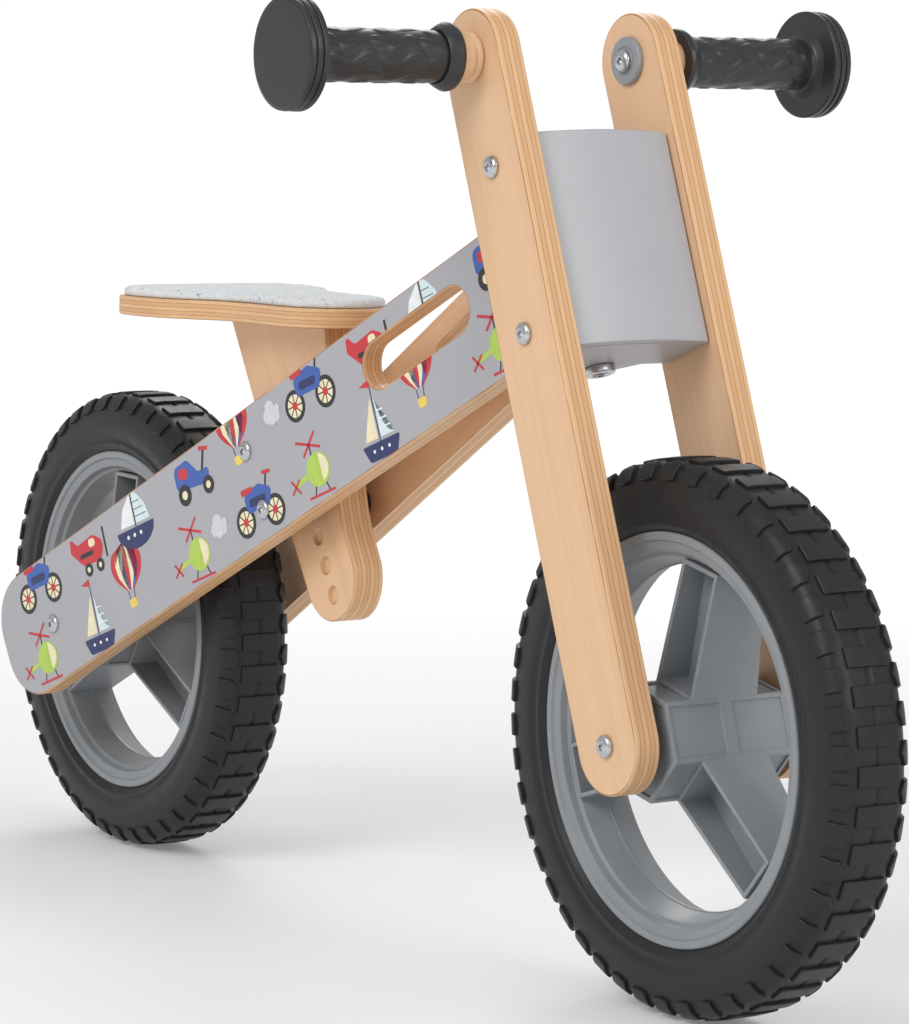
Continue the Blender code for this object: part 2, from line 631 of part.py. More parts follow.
def post_outline():
    """Blade that is narrow and round below and flares back to carry the seat."""
    foot = Vector((LOWEST_HOLE[0] - 0.0044, LOWEST_HOLE[1] + 0.0112))
    radius = 0.0272
    lean = SEAT_HOLE_LEAN
    ahead = Vector((math.cos(lean), math.sin(lean)))
    up = Vector((-math.sin(lean), math.cos(lean)))
    bottom = arc(foot.x, foot.y, radius, lean + math.pi + 0.05, lean + 2 * math.pi - 0.16, 12)
    front_mid = foot + ahead * (radius - 0.0005) + up * 0.0270
    front_top_x = foot.x - 0.0065
    rear_mid = foot - ahead * (radius + 0.0030) + up * 0.0560
    rear_top_x = foot.x - 0.1150
    corners = [(x, z, 0) for x, z in bottom]
    corners.append((*front_mid, 0.10))
    corners.append((front_top_x, seat_under(front_top_x) - GAP, 0))
    corners.append((rear_top_x, seat_under(rear_top_x) - GAP, 0))
    corners.append((*rear_mid, 0.16))
    return rounded(corners, 5)


def seat_outline(inset=0.0, steps=10):
    """Saddle shape from above: a wide rear that narrows to a round nose."""
    upper = []
    nose_start = SEAT_LENGTH - SEAT_NOSE_HALF_WIDTH
    for i in range(steps + 1):
        x = SEAT_CORNER_RADIUS + (nose_start - SEAT_CORNER_RADIUS) * i / steps
        fade = 1 / (1 + math.exp((x - SEAT_WAIST_X) / SEAT_WAIST_SOFTNESS))
        upper.append((x, SEAT_NOSE_HALF_WIDTH + (SEAT_REAR_HALF_WIDTH - SEAT_NOSE_HALF_WIDTH) * fade - inset))
    rear_y = upper[0][1] - SEAT_CORNER_RADIUS + inset
    rear = arc(SEAT_CORNER_RADIUS, rear_y, SEAT_CORNER_RADIUS - inset, math.pi, math.pi / 2, 4)[:-1]
    nose = arc(nose_start, 0, SEAT_NOSE_HALF_WIDTH - inset, math.pi / 2, 0, 6)[1:]
    top = rear + upper + nose
    return top + [(x, -y) for x, y in reversed(top[:-1])]


def make_seat():
    """Post, saddle board, felt pad and the three screws that hold the board on the post."""
    half = SEAT_POST_THICKNESS / 2
    post = place("seat_post", prism("seat_post", post_outline(), -half, half, "xz"), "birch")
    bevel(post, 0.0020, 1)
    boolean(post, drill("height_holes", SEAT_HOLE_RADIUS, [seat_hole(i) for i in range(SEAT_HOLE_COUNT)]))

    base = (SEAT_REAR_X, 0, seat_under(SEAT_REAR_X))
    turn = (0, SEAT_TILT, 0)
    board = place("seat_board", prism("seat_board", seat_outline(), 0, SEAT_BOARD_THICKNESS), "birch", None,
                  base, turn)
    bevel(board, 0.0020, 1)
    pad_low = SEAT_BOARD_THICKNESS + GAP
    pad = place("seat_pad", prism("seat_pad", seat_outline(SEAT_PAD_INSET), pad_low, pad_low + SEAT_PAD_THICKNESS),
                "felt", None, base, turn)
    bevel(pad, 0.0015, 1)

    centres = [(x - SEAT_REAR_X, 0, 0) for x in (-0.150, -0.115, -0.080)]
    head_top = SEAT_BOARD_THICKNESS - GAP
    neck = head_top - SCREW_HEAD_RADIUS + SCREW_RADIUS
    screw = [(0, head_top), (SCREW_HEAD_RADIUS, head_top), (SCREW_RADIUS, neck),
             (SCREW_RADIUS, head_top - SCREW_LENGTH), (0, head_top - SCREW_LENGTH - 0.003)]
    for number, centre in enumerate(centres, 1):
        place(f"seat_screw_{number}", turned("screw", screw, 16, "z", (centre,)), "steel", None, base, turn)
    wide = GAP * 1.5
    sink = [(0, 0.05), (SCREW_HEAD_RADIUS + wide, 0.05), (SCREW_HEAD_RADIUS + wide, head_top),
            (SCREW_RADIUS + wide, neck), (SCREW_RADIUS + wide, head_top - SCREW_LENGTH), (0, head_top - SCREW_LENGTH - 0.004)]
    pilot = place("screw_pilots", turned("screw_pilots", sink, 16, "z", centres), None, None, base, turn)
    boolean(board, pilot)
    boolean(post, pilot)


def make_seat_sleeves(keepouts):
    """Sleeves that centre the seat post between the leaning panels, with spigots in its holes."""
    inner = SEAT_POST_THICKNESS / 2 + GAP
    for level, index in zip(("lower", "upper"), SEAT_BOLT_HOLES):
        x, z = seat_hole(index)
        for label, side in SIDES.items():
            blank_end = side * (panel_inner_y(x) + 0.004)
            profile = [(BOLT_HOLE_RADIUS, side * (inner - SEAT_SPIGOT_LENGTH)),
                       (SEAT_HOLE_RADIUS - GAP, side * (inner - SEAT_SPIGOT_LENGTH)),
                       (SEAT_HOLE_RADIUS - GAP, side * inner), (SEAT_SLEEVE_RADIUS, side * inner),
                       (SEAT_SLEEVE_RADIUS, blank_end), (BOLT_HOLE_RADIUS, blank_end)]
            sleeve = place(f"seat_spacer_{level}_{label}", turned("sleeve", profile), "bush_plastic", None,
                           (x, 0, z))
            boolean(sleeve, keepouts[label])


# ---------------------------------------------------------------- fork
def make_legs(steering):
    """Two plywood legs with round ends, drilled for the axle, the crosspiece bolts and the handle screw."""
    radius = LEG_HALF_WIDTH
    outline = (arc(KINGPIN_SETBACK, 0, radius, math.pi, 2 * math.pi, 12)
               + arc(KINGPIN_SETBACK, LEG_LENGTH, radius, 0, math.pi, 12))
    places = [(KINGPIN_SETBACK, height) for height in LEG_BOLT_HEIGHTS + (LEG_LENGTH,)]
    bolt_drill = drill("leg_bolt_drill", BOLT_HOLE_RADIUS, places, parent=steering)
    axle_drill = drill("leg_axle_drill", AXLE_HOLE_RADIUS, [(KINGPIN_SETBACK, 0)], parent=steering)
    for label, side in SIDES.items():
        low, high = sorted((side * LEG_INNER, side * LEG_OUTER))
        leg = place(f"fork_leg_{label}", prism("leg", outline, low, high, "xz"), "birch", steering)
        bevel(leg, EDGE_ROUND)
        boolean(leg, bolt_drill)
        boolean(leg, axle_drill)


def plate_arc(depth, half_length, steps=8):
    """Points of the bowed front, set back from the plate's outer face by depth."""
    sides = LEG_INNER - GAP
    radius = (sides ** 2 + PLATE_BOW ** 2) / (2 * PLATE_BOW)
    centre = KINGPIN_SETBACK + PLATE_EDGE_FORWARD + PLATE_BOW - radius
    inner = radius - depth
    angle = math.asin(half_length / inner)
    return arc(centre, 0, inner, -angle, angle, steps)


def crosspiece_outline():
    """Block with a bowed front, and a round tongue at the rear that carries the kingpin."""
    rear = KINGPIN_SETBACK + CROSSPIECE_REAR
    touch = math.acos(TONGUE_RADIUS / math.hypot(rear, TONGUE_SHOULDER))
    aim = math.atan2(TONGUE_SHOULDER, rear)
    tongue = arc(0, 0, TONGUE_RADIUS, aim + touch, 2 * math.pi - aim - touch, 10)
    front = plate_arc(PLATE_THICKNESS + GAP, CROSSPIECE_HALF_LENGTH)
    return front + [(rear, CROSSPIECE_HALF_LENGTH), (rear, TONGUE_SHOULDER)] + tongue + [
        (rear, -TONGUE_SHOULDER), (rear, -CROSSPIECE_HALF_LENGTH)]


def make_fork_head(steering):
    """Crosspieces, front plate, and the bolts and inserts that join them to the legs."""
    outline = crosspiece_outline()
    kingpin_drill = place("kingpin_drill", turned("kingpin_drill", rod(KINGPIN_HOLE_RADIUS, 0, 0.5), TURNED_STEPS, "z"),
                          None, steering)
    bolt_drills = []
    for label, side in SIDES.items():
        hole = rod(BOLT_HOLE_RADIUS, side * (LEG_INNER - LEG_BOLT_REACH - GAP), side * 0.06)
        centres = [(KINGPIN_SETBACK, 0, height) for height in LEG_BOLT_HEIGHTS]
        bolt_drills.append(place(f"leg_bolt_holes_{label}", turned("holes", hole, centres=centres), None, steering))
    for label, bottom in (("lower", CROSSPIECE_BOTTOM), ("upper", HEAD_GAP_TOP)):
        block = place(f"{label}_crosspiece", prism("crosspiece", outline, bottom, bottom + CROSSPIECE_HEIGHT),
                      "grey_paint", steering)
        boolean(block, kingpin_drill)
        for bolt_drill in bolt_drills:
            boolean(block, bolt_drill)
    face = plate_arc(0, CROSSPIECE_HALF_LENGTH)
    back = plate_arc(PLATE_THICKNESS, CROSSPIECE_HALF_LENGTH)
    plate = prism("front_plate", face + back[::-1], CROSSPIECE_BOTTOM, CROSSPIECE_TOP)
    bevel(place("front_plate", plate, "grey_paint", steering), 0.0012, 1)

    for label, side in SIDES.items():
        profile = button_bolt(side * (LEG_OUTER + GAP), side * (LEG_INNER - LEG_BOLT_REACH), side)
        for level, height in zip(("lower", "upper"), LEG_BOLT_HEIGHTS):
            place(f"leg_bolt_{level}_{label}", turned("leg_bolt", profile), "steel", steering,
                  (KINGPIN_SETBACK, 0, height))


def make_kingpin(steering):
    """Steering pin with a domed head on top and a round nut below the lower crosspiece."""
    head = CROSSPIECE_TOP + GAP
    nut_face = CROSSPIECE_BOTTOM - GAP
    tip = nut_face - KINGPIN_HEAD_HEIGHT + 0.0012
    pin = [(0, tip), (KINGPIN_RADIUS, tip), (KINGPIN_RADIUS, head), (KINGPIN_HEAD_RADIUS, head),
           (KINGPIN_HEAD_RADIUS, head + 0.3 * KINGPIN_HEAD_HEIGHT),
           (0.8 * KINGPIN_HEAD_RADIUS, head + 0.75 * KINGPIN_HEAD_HEIGHT),
           (0.5 * KINGPIN_HEAD_RADIUS, head + KINGPIN_HEAD_HEIGHT), (BOLT_SOCKET_RADIUS, head + KINGPIN_HEAD_HEIGHT),
           (BOLT_SOCKET_RADIUS, head + 0.5 * KINGPIN_HEAD_HEIGHT), (0, head + 0.5 * KINGPIN_HEAD_HEIGHT)]
    place("kingpin", turned("kingpin", pin, TURNED_STEPS, "z"), "steel", steering)
    low = nut_face - KINGPIN_HEAD_HEIGHT
    nut = [(KINGPIN_HOLE_RADIUS, nut_face), (KINGPIN_HEAD_RADIUS, nut_face),
           (KINGPIN_HEAD_RADIUS, low + 0.0012), (KINGPIN_HEAD_RADIUS - 0.0012, low),
           (KINGPIN_HOLE_RADIUS + 0.0012, low), (KINGPIN_HOLE_RADIUS, low + 0.0012)]
    place("kingpin_nut", turned("kingpin_nut", nut, TURNED_STEPS, "z"), "steel", steering)


def make_handles(steering):
    """On each side: a dowel against the leg, a grip over it, and a screw through an inner cap."""
    spot = (KINGPIN_SETBACK, 0, LEG_LENGTH)
    for label, side in SIDES.items():
        foot = LEG_OUTER + GAP
        dowel_end = GRIP_END - GRIP_END_WALL - GAP
        screw_tip = foot + 0.0320
        pilot = BOLT_HOLE_RADIUS
        dowel = [(pilot, foot), (HANDLE_RING_RADIUS, foot), (HANDLE_RING_RADIUS, foot + 0.6 * HANDLE_RING_WIDTH),
                 (HANDLE_RADIUS, foot + 1.4 * HANDLE_RING_WIDTH), (HANDLE_RADIUS, dowel_end), (0, dowel_end),
                 (0, screw_tip + GAP), (pilot, screw_tip + GAP)]
        dowel = [(radius, side * y) for radius, y in dowel]
        place(f"handle_dowel_{label}", turned("dowel", dowel, TURNED_STEPS), "birch", steering, spot)

        bore = HANDLE_RADIUS + GAP
        disc = GRIP_END - GRIP_DISC_WIDTH
        grip = [(bore, GRIP_START), (GRIP_COLLAR_RADIUS - 0.0012, GRIP_START),
                (GRIP_COLLAR_RADIUS, GRIP_START + 0.0015), (GRIP_COLLAR_RADIUS - 0.0008, GRIP_START + GRIP_COLLAR_WIDTH),
                (GRIP_RADIUS, GRIP_START + 1.6 * GRIP_COLLAR_WIDTH), (GRIP_RADIUS, disc - 0.0030),
                (GRIP_RADIUS + 0.0030, disc), (GRIP_DISC_RADIUS - 0.0020, disc),
                (GRIP_DISC_RADIUS, disc + 0.0020), (GRIP_DISC_RADIUS, GRIP_END - 0.0020),
                (GRIP_DISC_RADIUS - 0.0020, GRIP_END), (0, GRIP_END), (0, GRIP_END - GRIP_END_WALL),
                (bore, GRIP_END - GRIP_END_WALL)]
        grip = [(radius, side * y) for radius, y in grip]
        place(f"grip_{label}", turned("grip", grip, TURNED_STEPS), "grip_rubber", steering, spot)

        cap_outer = LEG_INNER - GAP
        cap_inner = cap_outer - HANDLE_CAP_THICKNESS
        cap = [(BOLT_HOLE_RADIUS, cap_outer), (HANDLE_CAP_RADIUS, cap_outer), (HANDLE_CAP_RADIUS, cap_inner + 0.0008),
               (HANDLE_CAP_RADIUS - 0.0008, cap_inner), (BOLT_HOLE_RADIUS, cap_inner)]
        cap = [(radius, side * y) for radius, y in cap]
        place(f"handle_cap_{label}", turned("cap", cap, TURNED_STEPS), "rim_plastic", steering, spot)
        screw = button_bolt(side * (cap_inner - GAP), side * screw_tip, -side)
        place(f"handle_screw_{label}", turned("handle_screw", screw), "steel", steering, spot)


# ---------------------------------------------------------------- assembly
clear_scene()
MATERIALS = {name: make_material(name, *values) for name, values in FINISHES.items()}

steering_axis = make_axis("steering_axis", KINGPIN_FOOT, Euler((0, -RAKE, 0)))
front_wheel_axis = make_axis("front_wheel_axis", (KINGPIN_SETBACK, 0, 0), Euler((0, RAKE, 0)), steering_axis)
rear_wheel_axis = make_axis("rear_wheel_axis", REAR_AXLE)

panel_keepouts = {label: panel_keepout(label, side) for label, side in SIDES.items()}
make_panels(panel_keepouts)
through_bolts("head", head_bolt_places())
through_bolts("seat_post", [seat_hole(i) for i in SEAT_BOLT_HOLES])
make_seat()
make_seat_sleeves(panel_keepouts)

make_wheel("rear", rear_wheel_axis, REAR_SPOKE_PHASE, (0, 0, 0))
axle_set("rear", None, REAR_AXLE, panel_seat_y(REAR_AXLE.x) + GAP, panel_inner_y(REAR_AXLE.x) + 0.004,
         panel_keepouts)

make_legs(steering_axis)
make_fork_head(steering_axis)
make_kingpin(steering_axis)
make_handles(steering_axis)
make_wheel("front", front_wheel_axis, FRONT_SPOKE_PHASE, (0, 0, 0))
axle_set("front", steering_axis, (KINGPIN_SETBACK, 0, 0), LEG_OUTER + GAP, LEG_INNER - GAP)
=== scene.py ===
"""Looks of a wooden balance bike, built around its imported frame.

Metres, +X the way the bike rolls, +Y to the rider's left, +Z up, as in the frame.
"""

import json
import math

import bmesh
import bpy
from bpy.props import FloatProperty, FloatVectorProperty, IntProperty, PointerProperty
from mathutils import Matrix, Vector, noise


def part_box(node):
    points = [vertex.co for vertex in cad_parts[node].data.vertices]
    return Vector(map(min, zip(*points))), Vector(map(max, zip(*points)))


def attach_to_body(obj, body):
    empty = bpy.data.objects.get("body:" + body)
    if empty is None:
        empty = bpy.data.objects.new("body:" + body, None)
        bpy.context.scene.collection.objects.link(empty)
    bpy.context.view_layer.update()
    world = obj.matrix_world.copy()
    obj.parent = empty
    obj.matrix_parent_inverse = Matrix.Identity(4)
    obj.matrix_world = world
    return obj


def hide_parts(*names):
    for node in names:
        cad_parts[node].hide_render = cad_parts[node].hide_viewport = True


bl_info = {
    "name": "Wooden balance bike",
    "version": (1, 0, 0),
    "blender": (4, 5, 0),
    "location": "3D View > Sidebar > Balance bike",
    "description": "Builds the wood, tyres, rims, grips, prints and felt of a balance bike on its frame",
    "category": "Object",
}

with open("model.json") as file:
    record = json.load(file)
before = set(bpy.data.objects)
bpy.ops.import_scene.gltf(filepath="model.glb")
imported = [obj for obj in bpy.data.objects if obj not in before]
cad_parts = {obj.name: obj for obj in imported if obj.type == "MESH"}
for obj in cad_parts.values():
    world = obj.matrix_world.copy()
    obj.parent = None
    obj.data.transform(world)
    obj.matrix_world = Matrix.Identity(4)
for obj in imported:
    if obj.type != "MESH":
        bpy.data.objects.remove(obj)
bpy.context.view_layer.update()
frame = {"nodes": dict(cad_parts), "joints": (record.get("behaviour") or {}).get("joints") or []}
SIDES = {"right": -1, "left": 1}
MM = 0.001


def box_centre(node):
    low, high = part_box(node)
    return (low + high) / 2


def box_size(node):
    low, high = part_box(node)
    return high - low


# ---------------------------------------------------------------- places taken from the frame
STEERING = next(joint for joint in frame["joints"] if joint["name"] == "steering")
REAR_AXLE = box_centre("rear_tyre")
FRONT_AXLE = box_centre("front_tyre")
STEERING_AXIS = Vector(STEERING["axis"]).normalized()
RAKE = math.atan2(-STEERING_AXIS.x, STEERING_AXIS.z)
FORK_AHEAD = Vector((math.cos(RAKE), 0.0, math.sin(RAKE)))
FORK_UP = Vector((-math.sin(RAKE), 0.0, math.cos(RAKE)))
KINGPIN_SETBACK = 0.0220
KINGPIN_FOOT = FRONT_AXLE - FORK_AHEAD * KINGPIN_SETBACK
FORK_PLACE = Matrix.Translation(KINGPIN_FOOT) @ Matrix.Rotation(-RAKE, 4, "Y")

TYRE_RADIUS = box_size("front_tyre").z / 2
HUB_HALF_LENGTH = box_size("front_rim").y / 2
LEG_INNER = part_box("fork_leg_left")[0].y
LEG_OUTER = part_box("fork_leg_left")[1].y
LEG_HALF_WIDTH = 0.0257
LEG_LENGTH = 0.3710
CROSSPIECE_BOTTOM = 0.2060
CROSSPIECE_TOP = 0.3230
CROSSPIECE_HEIGHT = 0.0260
HEAD_MIDDLE = (CROSSPIECE_BOTTOM + CROSSPIECE_TOP) / 2
HEAD_BLOCK_HALF = HEAD_MIDDLE - CROSSPIECE_BOTTOM - CROSSPIECE_HEIGHT - 0.0021
GAP = 0.0003

PANEL_PITCH = math.radians(26.65)
PANEL_TOE_IN = math.radians(6.4)
PANEL_THICKNESS = 0.0140
PANEL_REAR_HALF_SPACING = 0.0665
PANEL_CENTRE_OFFSET = 0.0032
SEAT_HOLE_LEAN = math.radians(27.9)
SEAT_HOLE_PITCH = 0.0187
SEAT_HOLE_COUNT = 6
LOWEST_HOLE = Vector((-0.0489, 0.1845))
SEAT_TILT = math.radians(0.8)
SEAT_REAR_X = -0.2320
SEAT_BASE_X = -0.1200
SEAT_BASE_HEIGHT = 0.3420


def fork_point(ahead, up):
    """World place of a point given ahead of the kingpin and up along it, in the middle plane."""
    return KINGPIN_FOOT + FORK_AHEAD * ahead + FORK_UP * up


def seat_under(x):
    """Height of the seat board's underside at x."""
    return SEAT_BASE_HEIGHT - (x - SEAT_BASE_X) * math.tan(SEAT_TILT)


def tint(red, green, blue):
    """A colour on the usual 0 to 255 scale, as the linear colour that shaders take."""
    def linear(value):
        value /= 255
        return value / 12.92 if value <= 0.04045 else ((value + 0.055) / 1.055) ** 2.4
    return linear(red), linear(green), linear(blue)


# ---------------------------------------------------------------- sizes and colours a user may change
def length(name, description, default):
    return FloatProperty(name=name, description=description, default=default, min=0.0, unit="LENGTH",
                         precision=4)


def colour(name, description, default):
    return FloatVectorProperty(name=name, description=description, default=default, size=3, min=0.0,
                               max=1.0,
                               subtype="COLOR")


class BoardSizes(bpy.types.PropertyGroup):
    """Sizes of the boards and the small print on them."""
    width: length("Board width", "Width of each side board", 0.0786)
    rear_overhang: length("Rear overhang", "How far a board reaches behind the rear axle", 0.0580)
    end_radius: length("End radius", "Radius of the board's rear corners", 0.0320)
    edge_round: length("Edge round", "Rounding along the boards' edges", 0.0010)
    leg_round: length("Leg round", "Rounding along the fork legs' edges", 0.0011)
    slot_length: length("Slot length", "Length of the carrying slot", 0.1000)
    slot_width: length("Slot width", "Width of the carrying slot", 0.0270)
    slot_along: length("Slot place", "From the rear axle to the slot's middle, along the board", 0.4067)
    slot_above: length("Slot rise", "How far the slot lies above the board's centre line", 0.0114)
    print_repeat: length("Print repeat", "Distance along the board after which the print starts again",
                         0.3090)


class WheelSizes(bpy.types.PropertyGroup):
    """Sizes of the tyres' tread and the moulded rims."""
    tread_pitches: IntProperty(name="Tread pitches", description="Number of tread blocks round the tyre",
                               default=46,
                               min=20, max=80)
    block_height: length("Block height", "How far a tread block stands above the tyre", 0.0018)
    block_length: length("Block length", "Length of a centre block round the tyre", 0.0108)
    spoke_half_width: length("Spoke half width", "Half the width of a spoke", 0.0153)
    spoke_wall: length("Spoke wall", "Wall round the pocket in a spoke", 0.0024)
    hub_radius: length("Hub radius", "From the hub's middle to its corners", 0.0315)


class GripSizes(bpy.types.PropertyGroup):
    """Sizes of the handlebar grips."""
    radius: length("Grip radius", "Radius of the part that is held", 0.0138)
    disc_radius: length("Disc radius", "Radius of the guard at the grip's end", 0.0295)
    disc_width: length("Disc width", "Width of the guard at the grip's end", 0.0115)
    pattern_height: length("Pattern height", "How far the moulded pattern stands out", 0.00055)


class Finishes(bpy.types.PropertyGroup):
    """Colours of the bike's surfaces."""
    birch: colour("Birch", "Face of the plywood", tint(226, 186, 146))
    birch_dark: colour("Birch grain", "Darker streaks in the plywood's face", tint(208, 160, 116))
    ply_light: colour("Ply light", "Light layers on the plywood's edge", tint(226, 184, 138))
    ply_dark: colour("Ply dark", "Darker crossing layers on the plywood's edge", tint(196, 142, 92))
    glue: colour("Glue lines", "Thin lines between the layers", tint(150, 98, 56))
    board_grey: colour("Board grey", "Ground of the printed side boards", tint(170, 170, 175))
    head_grey: colour("Head grey", "Paint on the fork's front plate and crosspieces", tint(174, 174, 178))
    rim_grey: colour("Rim grey", "Moulded plastic of the rims", tint(137, 141, 145))
    tyre: colour("Tyre", "Foam of the tyres", tint(33, 34, 36))
    grip: colour("Grip", "Rubber of the grips", tint(40, 41, 43))
    felt: colour("Felt", "Felt on the saddle", tint(226, 228, 229))


# ---------------------------------------------------------------- shader helpers
def add(tree, kind, inputs=(), **options):
    """Add a shader node; inputs may hold values or sockets to link."""
    made = tree.nodes.new("ShaderNode" + kind)
    for option, value in options.items():
        setattr(made, option, value)
    for key, value in dict(inputs).items():
        if isinstance(value, bpy.types.NodeSocket):
            tree.links.new(value, made.inputs[key])
        else:
            made.inputs[key].default_value = value
    return made


def calc(tree, operation, first, second=0.0, third=0.0):
    return add(tree, "Math", {0: first, 1: second, 2: third}, operation=operation).outputs[0]


def ease(tree, value, low, high, first=0.0, last=1.0):
    """Value moved smoothly from one range to another."""
    return add(tree, "MapRange", {"Value": value, "From Min": low, "From Max": high, "To Min": first,
                                  "To Max": last},
               interpolation_type="SMOOTHSTEP").outputs[0]


def blend_colour(tree, factor, first, second):
    def four(value):
        return value if isinstance(value, bpy.types.NodeSocket) else (*value[:3], 1.0)
    return add(tree, "Mix", {0: factor, 6: four(first), 7: four(second)}, data_type="RGBA").outputs[2]


def stretched_noise(tree, vector, stretch, scale, detail=3.0, roughness=0.5, distortion=0.0):
    moved = add(tree, "Mapping", {"Vector": vector, "Scale": stretch}).outputs[0]
    return add(tree, "TexNoise", {"Vector": moved, "Scale": scale, "Detail": detail, "Roughness": roughness,
                                  "Distortion": distortion}).outputs[0]


def new_group(name, inputs, outputs):
    """An empty node group with float or vector inputs and float outputs."""
    tree = bpy.data.node_groups.new(name, "ShaderNodeTree")
    for label, default in inputs:
        kind = "NodeSocketVector" if default is None else "NodeSocketFloat"
        socket = tree.interface.new_socket(label, in_out="INPUT", socket_type=kind)
        if default is not None:
            socket.default_value = default
    for label in outputs:
        tree.interface.new_socket(label, in_out="OUTPUT", socket_type="NodeSocketFloat")
    return tree, tree.nodes.new("NodeGroupInput").outputs, tree.nodes.new("NodeGroupOutput").inputs


def wood_grain_group():
    """Grain that runs along x: fine fibres, slow changes of tone, and a few short flecks."""
    tree, given, out = new_group("wood_grain", (("Vector", None), ("Fineness", 1.0)),
                                 ("Fibre", "Tone", "Fleck", "Height"))
    scaled = add(tree, "VectorMath", {0: given["Vector"], "Scale": given["Fineness"]},
                 operation="SCALE").outputs[0]
    wander = stretched_noise(tree, scaled, (3.0, 9.0, 9.0), 1.0, 2.0)
    shifted = add(tree, "VectorMath", {0: scaled, 1: add(tree, "CombineXYZ", {
        "Y": calc(tree, "MULTIPLY", wander, 0.010), "Z": calc(tree, "MULTIPLY", wander,
                                                              0.022)}).outputs[0]},
        operation="ADD").outputs[0]
    fibre = stretched_noise(tree, shifted, (9.0, 620.0, 620.0), 1.0, 4.0, 0.6)
    streak = stretched_noise(tree, shifted, (2.2, 95.0, 95.0), 1.0, 3.0, 0.55)
    tone = stretched_noise(tree, shifted, (1.6, 26.0, 26.0), 1.0, 2.0, 0.5, 0.4)
    fleck = stretched_noise(tree, shifted, (55.0, 1250.0, 1250.0), 1.0, 1.0, 0.4)
    links = tree.links
    links.new(calc(tree, "ADD", calc(tree, "MULTIPLY", fibre, 0.45), calc(tree, "MULTIPLY", streak, 0.55)),
              out["Fibre"])
    links.new(tone, out["Tone"])
    links.new(ease(tree, fleck, 0.70, 0.80), out["Fleck"])
    links.new(calc(tree, "SUBTRACT", fibre, calc(tree, "MULTIPLY", ease(tree, fleck, 0.66, 0.80), 0.8)),
              out["Height"])
    return tree


def ply_layers_group():
    """Layers across y: which ones cross the grain, and the thin glue lines between them."""
    tree, given, out = new_group("ply_layers", (("Vector", None), ("First face", 0.0), ("Thickness", 0.015),
                                                ("Plies", 5.0)), ("Crossing", "Glue"))
    split = add(tree, "SeparateXYZ", {0: given["Vector"]}).outputs
    waver = stretched_noise(tree, given["Vector"], (30.0, 0.0, 30.0), 1.0, 2.0)
    depth = calc(tree, "ADD", calc(tree, "SUBTRACT", split["Y"], given["First face"]),
                 calc(tree, "MULTIPLY", calc(tree, "SUBTRACT", waver, 0.5), 0.0009))
    layer = calc(tree, "MULTIPLY", calc(tree, "DIVIDE", depth, given["Thickness"]), given["Plies"])
    tree.links.new(calc(tree, "FLOORED_MODULO", calc(tree, "FLOOR", layer), 2.0), out["Crossing"])
    tree.links.new(ease(tree, calc(tree, "PINGPONG", layer, 0.5), 0.02, 0.10, 1.0, 0.0), out["Glue"])
    return tree


def surface_mottle_group():
    """Soft clouding and a fine orange-peel height, for paint, plastic, rubber and foam."""
    tree, given, out = new_group("surface_mottle", (("Vector", None), ("Cloud size", 0.02),
                                                    ("Peel size", 0.0008)),
                                 ("Cloud", "Peel"))
    for label, size, detail in (("Cloud", "Cloud size", 3.0), ("Peel", "Peel size", 2.0)):
        scale = calc(tree, "DIVIDE", 1.0, given[size])
        tree.links.new(add(tree, "TexNoise", {"Vector": given["Vector"], "Scale": scale,
                                              "Detail": detail}).outputs[0],
                       out[label])
    return tree


def use_group(tree, name, inputs):
    made = tree.nodes.new("ShaderNodeGroup")
    made.node_tree = bpy.data.node_groups.get(name) or GROUPS[name]()
    for key, value in inputs.items():
        if isinstance(value, bpy.types.NodeSocket):
            tree.links.new(value, made.inputs[key])
        else:
            made.inputs[key].default_value = value
    return made.outputs


GROUPS = {"wood_grain": wood_grain_group, "ply_layers": ply_layers_group,
          "surface_mottle": surface_mottle_group}


def new_material(name, constants):
    """A material with its plain values set on the shader; gives tree, shader inputs and coordinates."""
    material = bpy.data.materials.new(name)
    material.use_nodes = True
    tree = material.node_tree
    shader = tree.nodes["Principled BSDF"]
    for key, value in constants.items():
        shader.inputs[key].default_value = value
    return material, tree, shader.inputs, add(tree, "TexCoord").outputs["Object"]


def bump(tree, height, strength, distance):
    return add(tree, "Bump", {"Height": height, "Strength": strength, "Distance": distance}).outputs[0]


def birch_face(name):
    """Lacquered birch veneer: pale, with long fine streaks and a few flecks."""
    colours = bpy.context.scene.bike_finishes
    material, tree, shader, spot = new_material(name, {"Coat Weight": 0.25, "Coat Roughness": 0.25})
    grain = use_group(tree, "wood_grain", {"Vector": spot})
    streaks = blend_colour(tree, ease(tree, grain["Fibre"], 0.36, 0.66), colours.birch, colours.birch_dark)
    toned = blend_colour(tree, ease(tree, grain["Tone"], 0.35, 0.70, 0.0, 0.35), colours.birch, streaks)
    mixed = blend_colour(tree, calc(tree, "MULTIPLY", ease(tree, grain["Fibre"], 0.40, 0.62), 0.25), toned,
                         streaks)
    flecked = blend_colour(tree, calc(tree, "MULTIPLY", grain["Fleck"], 0.12), mixed, colours.glue)
    tree.links.new(flecked, shader["Base Color"])
    tree.links.new(ease(tree, grain["Fibre"], 0.3, 0.7, 0.40, 0.52), shader["Roughness"])
    tree.links.new(bump(tree, grain["Height"], 0.16, 0.0003), shader["Normal"])
    return material


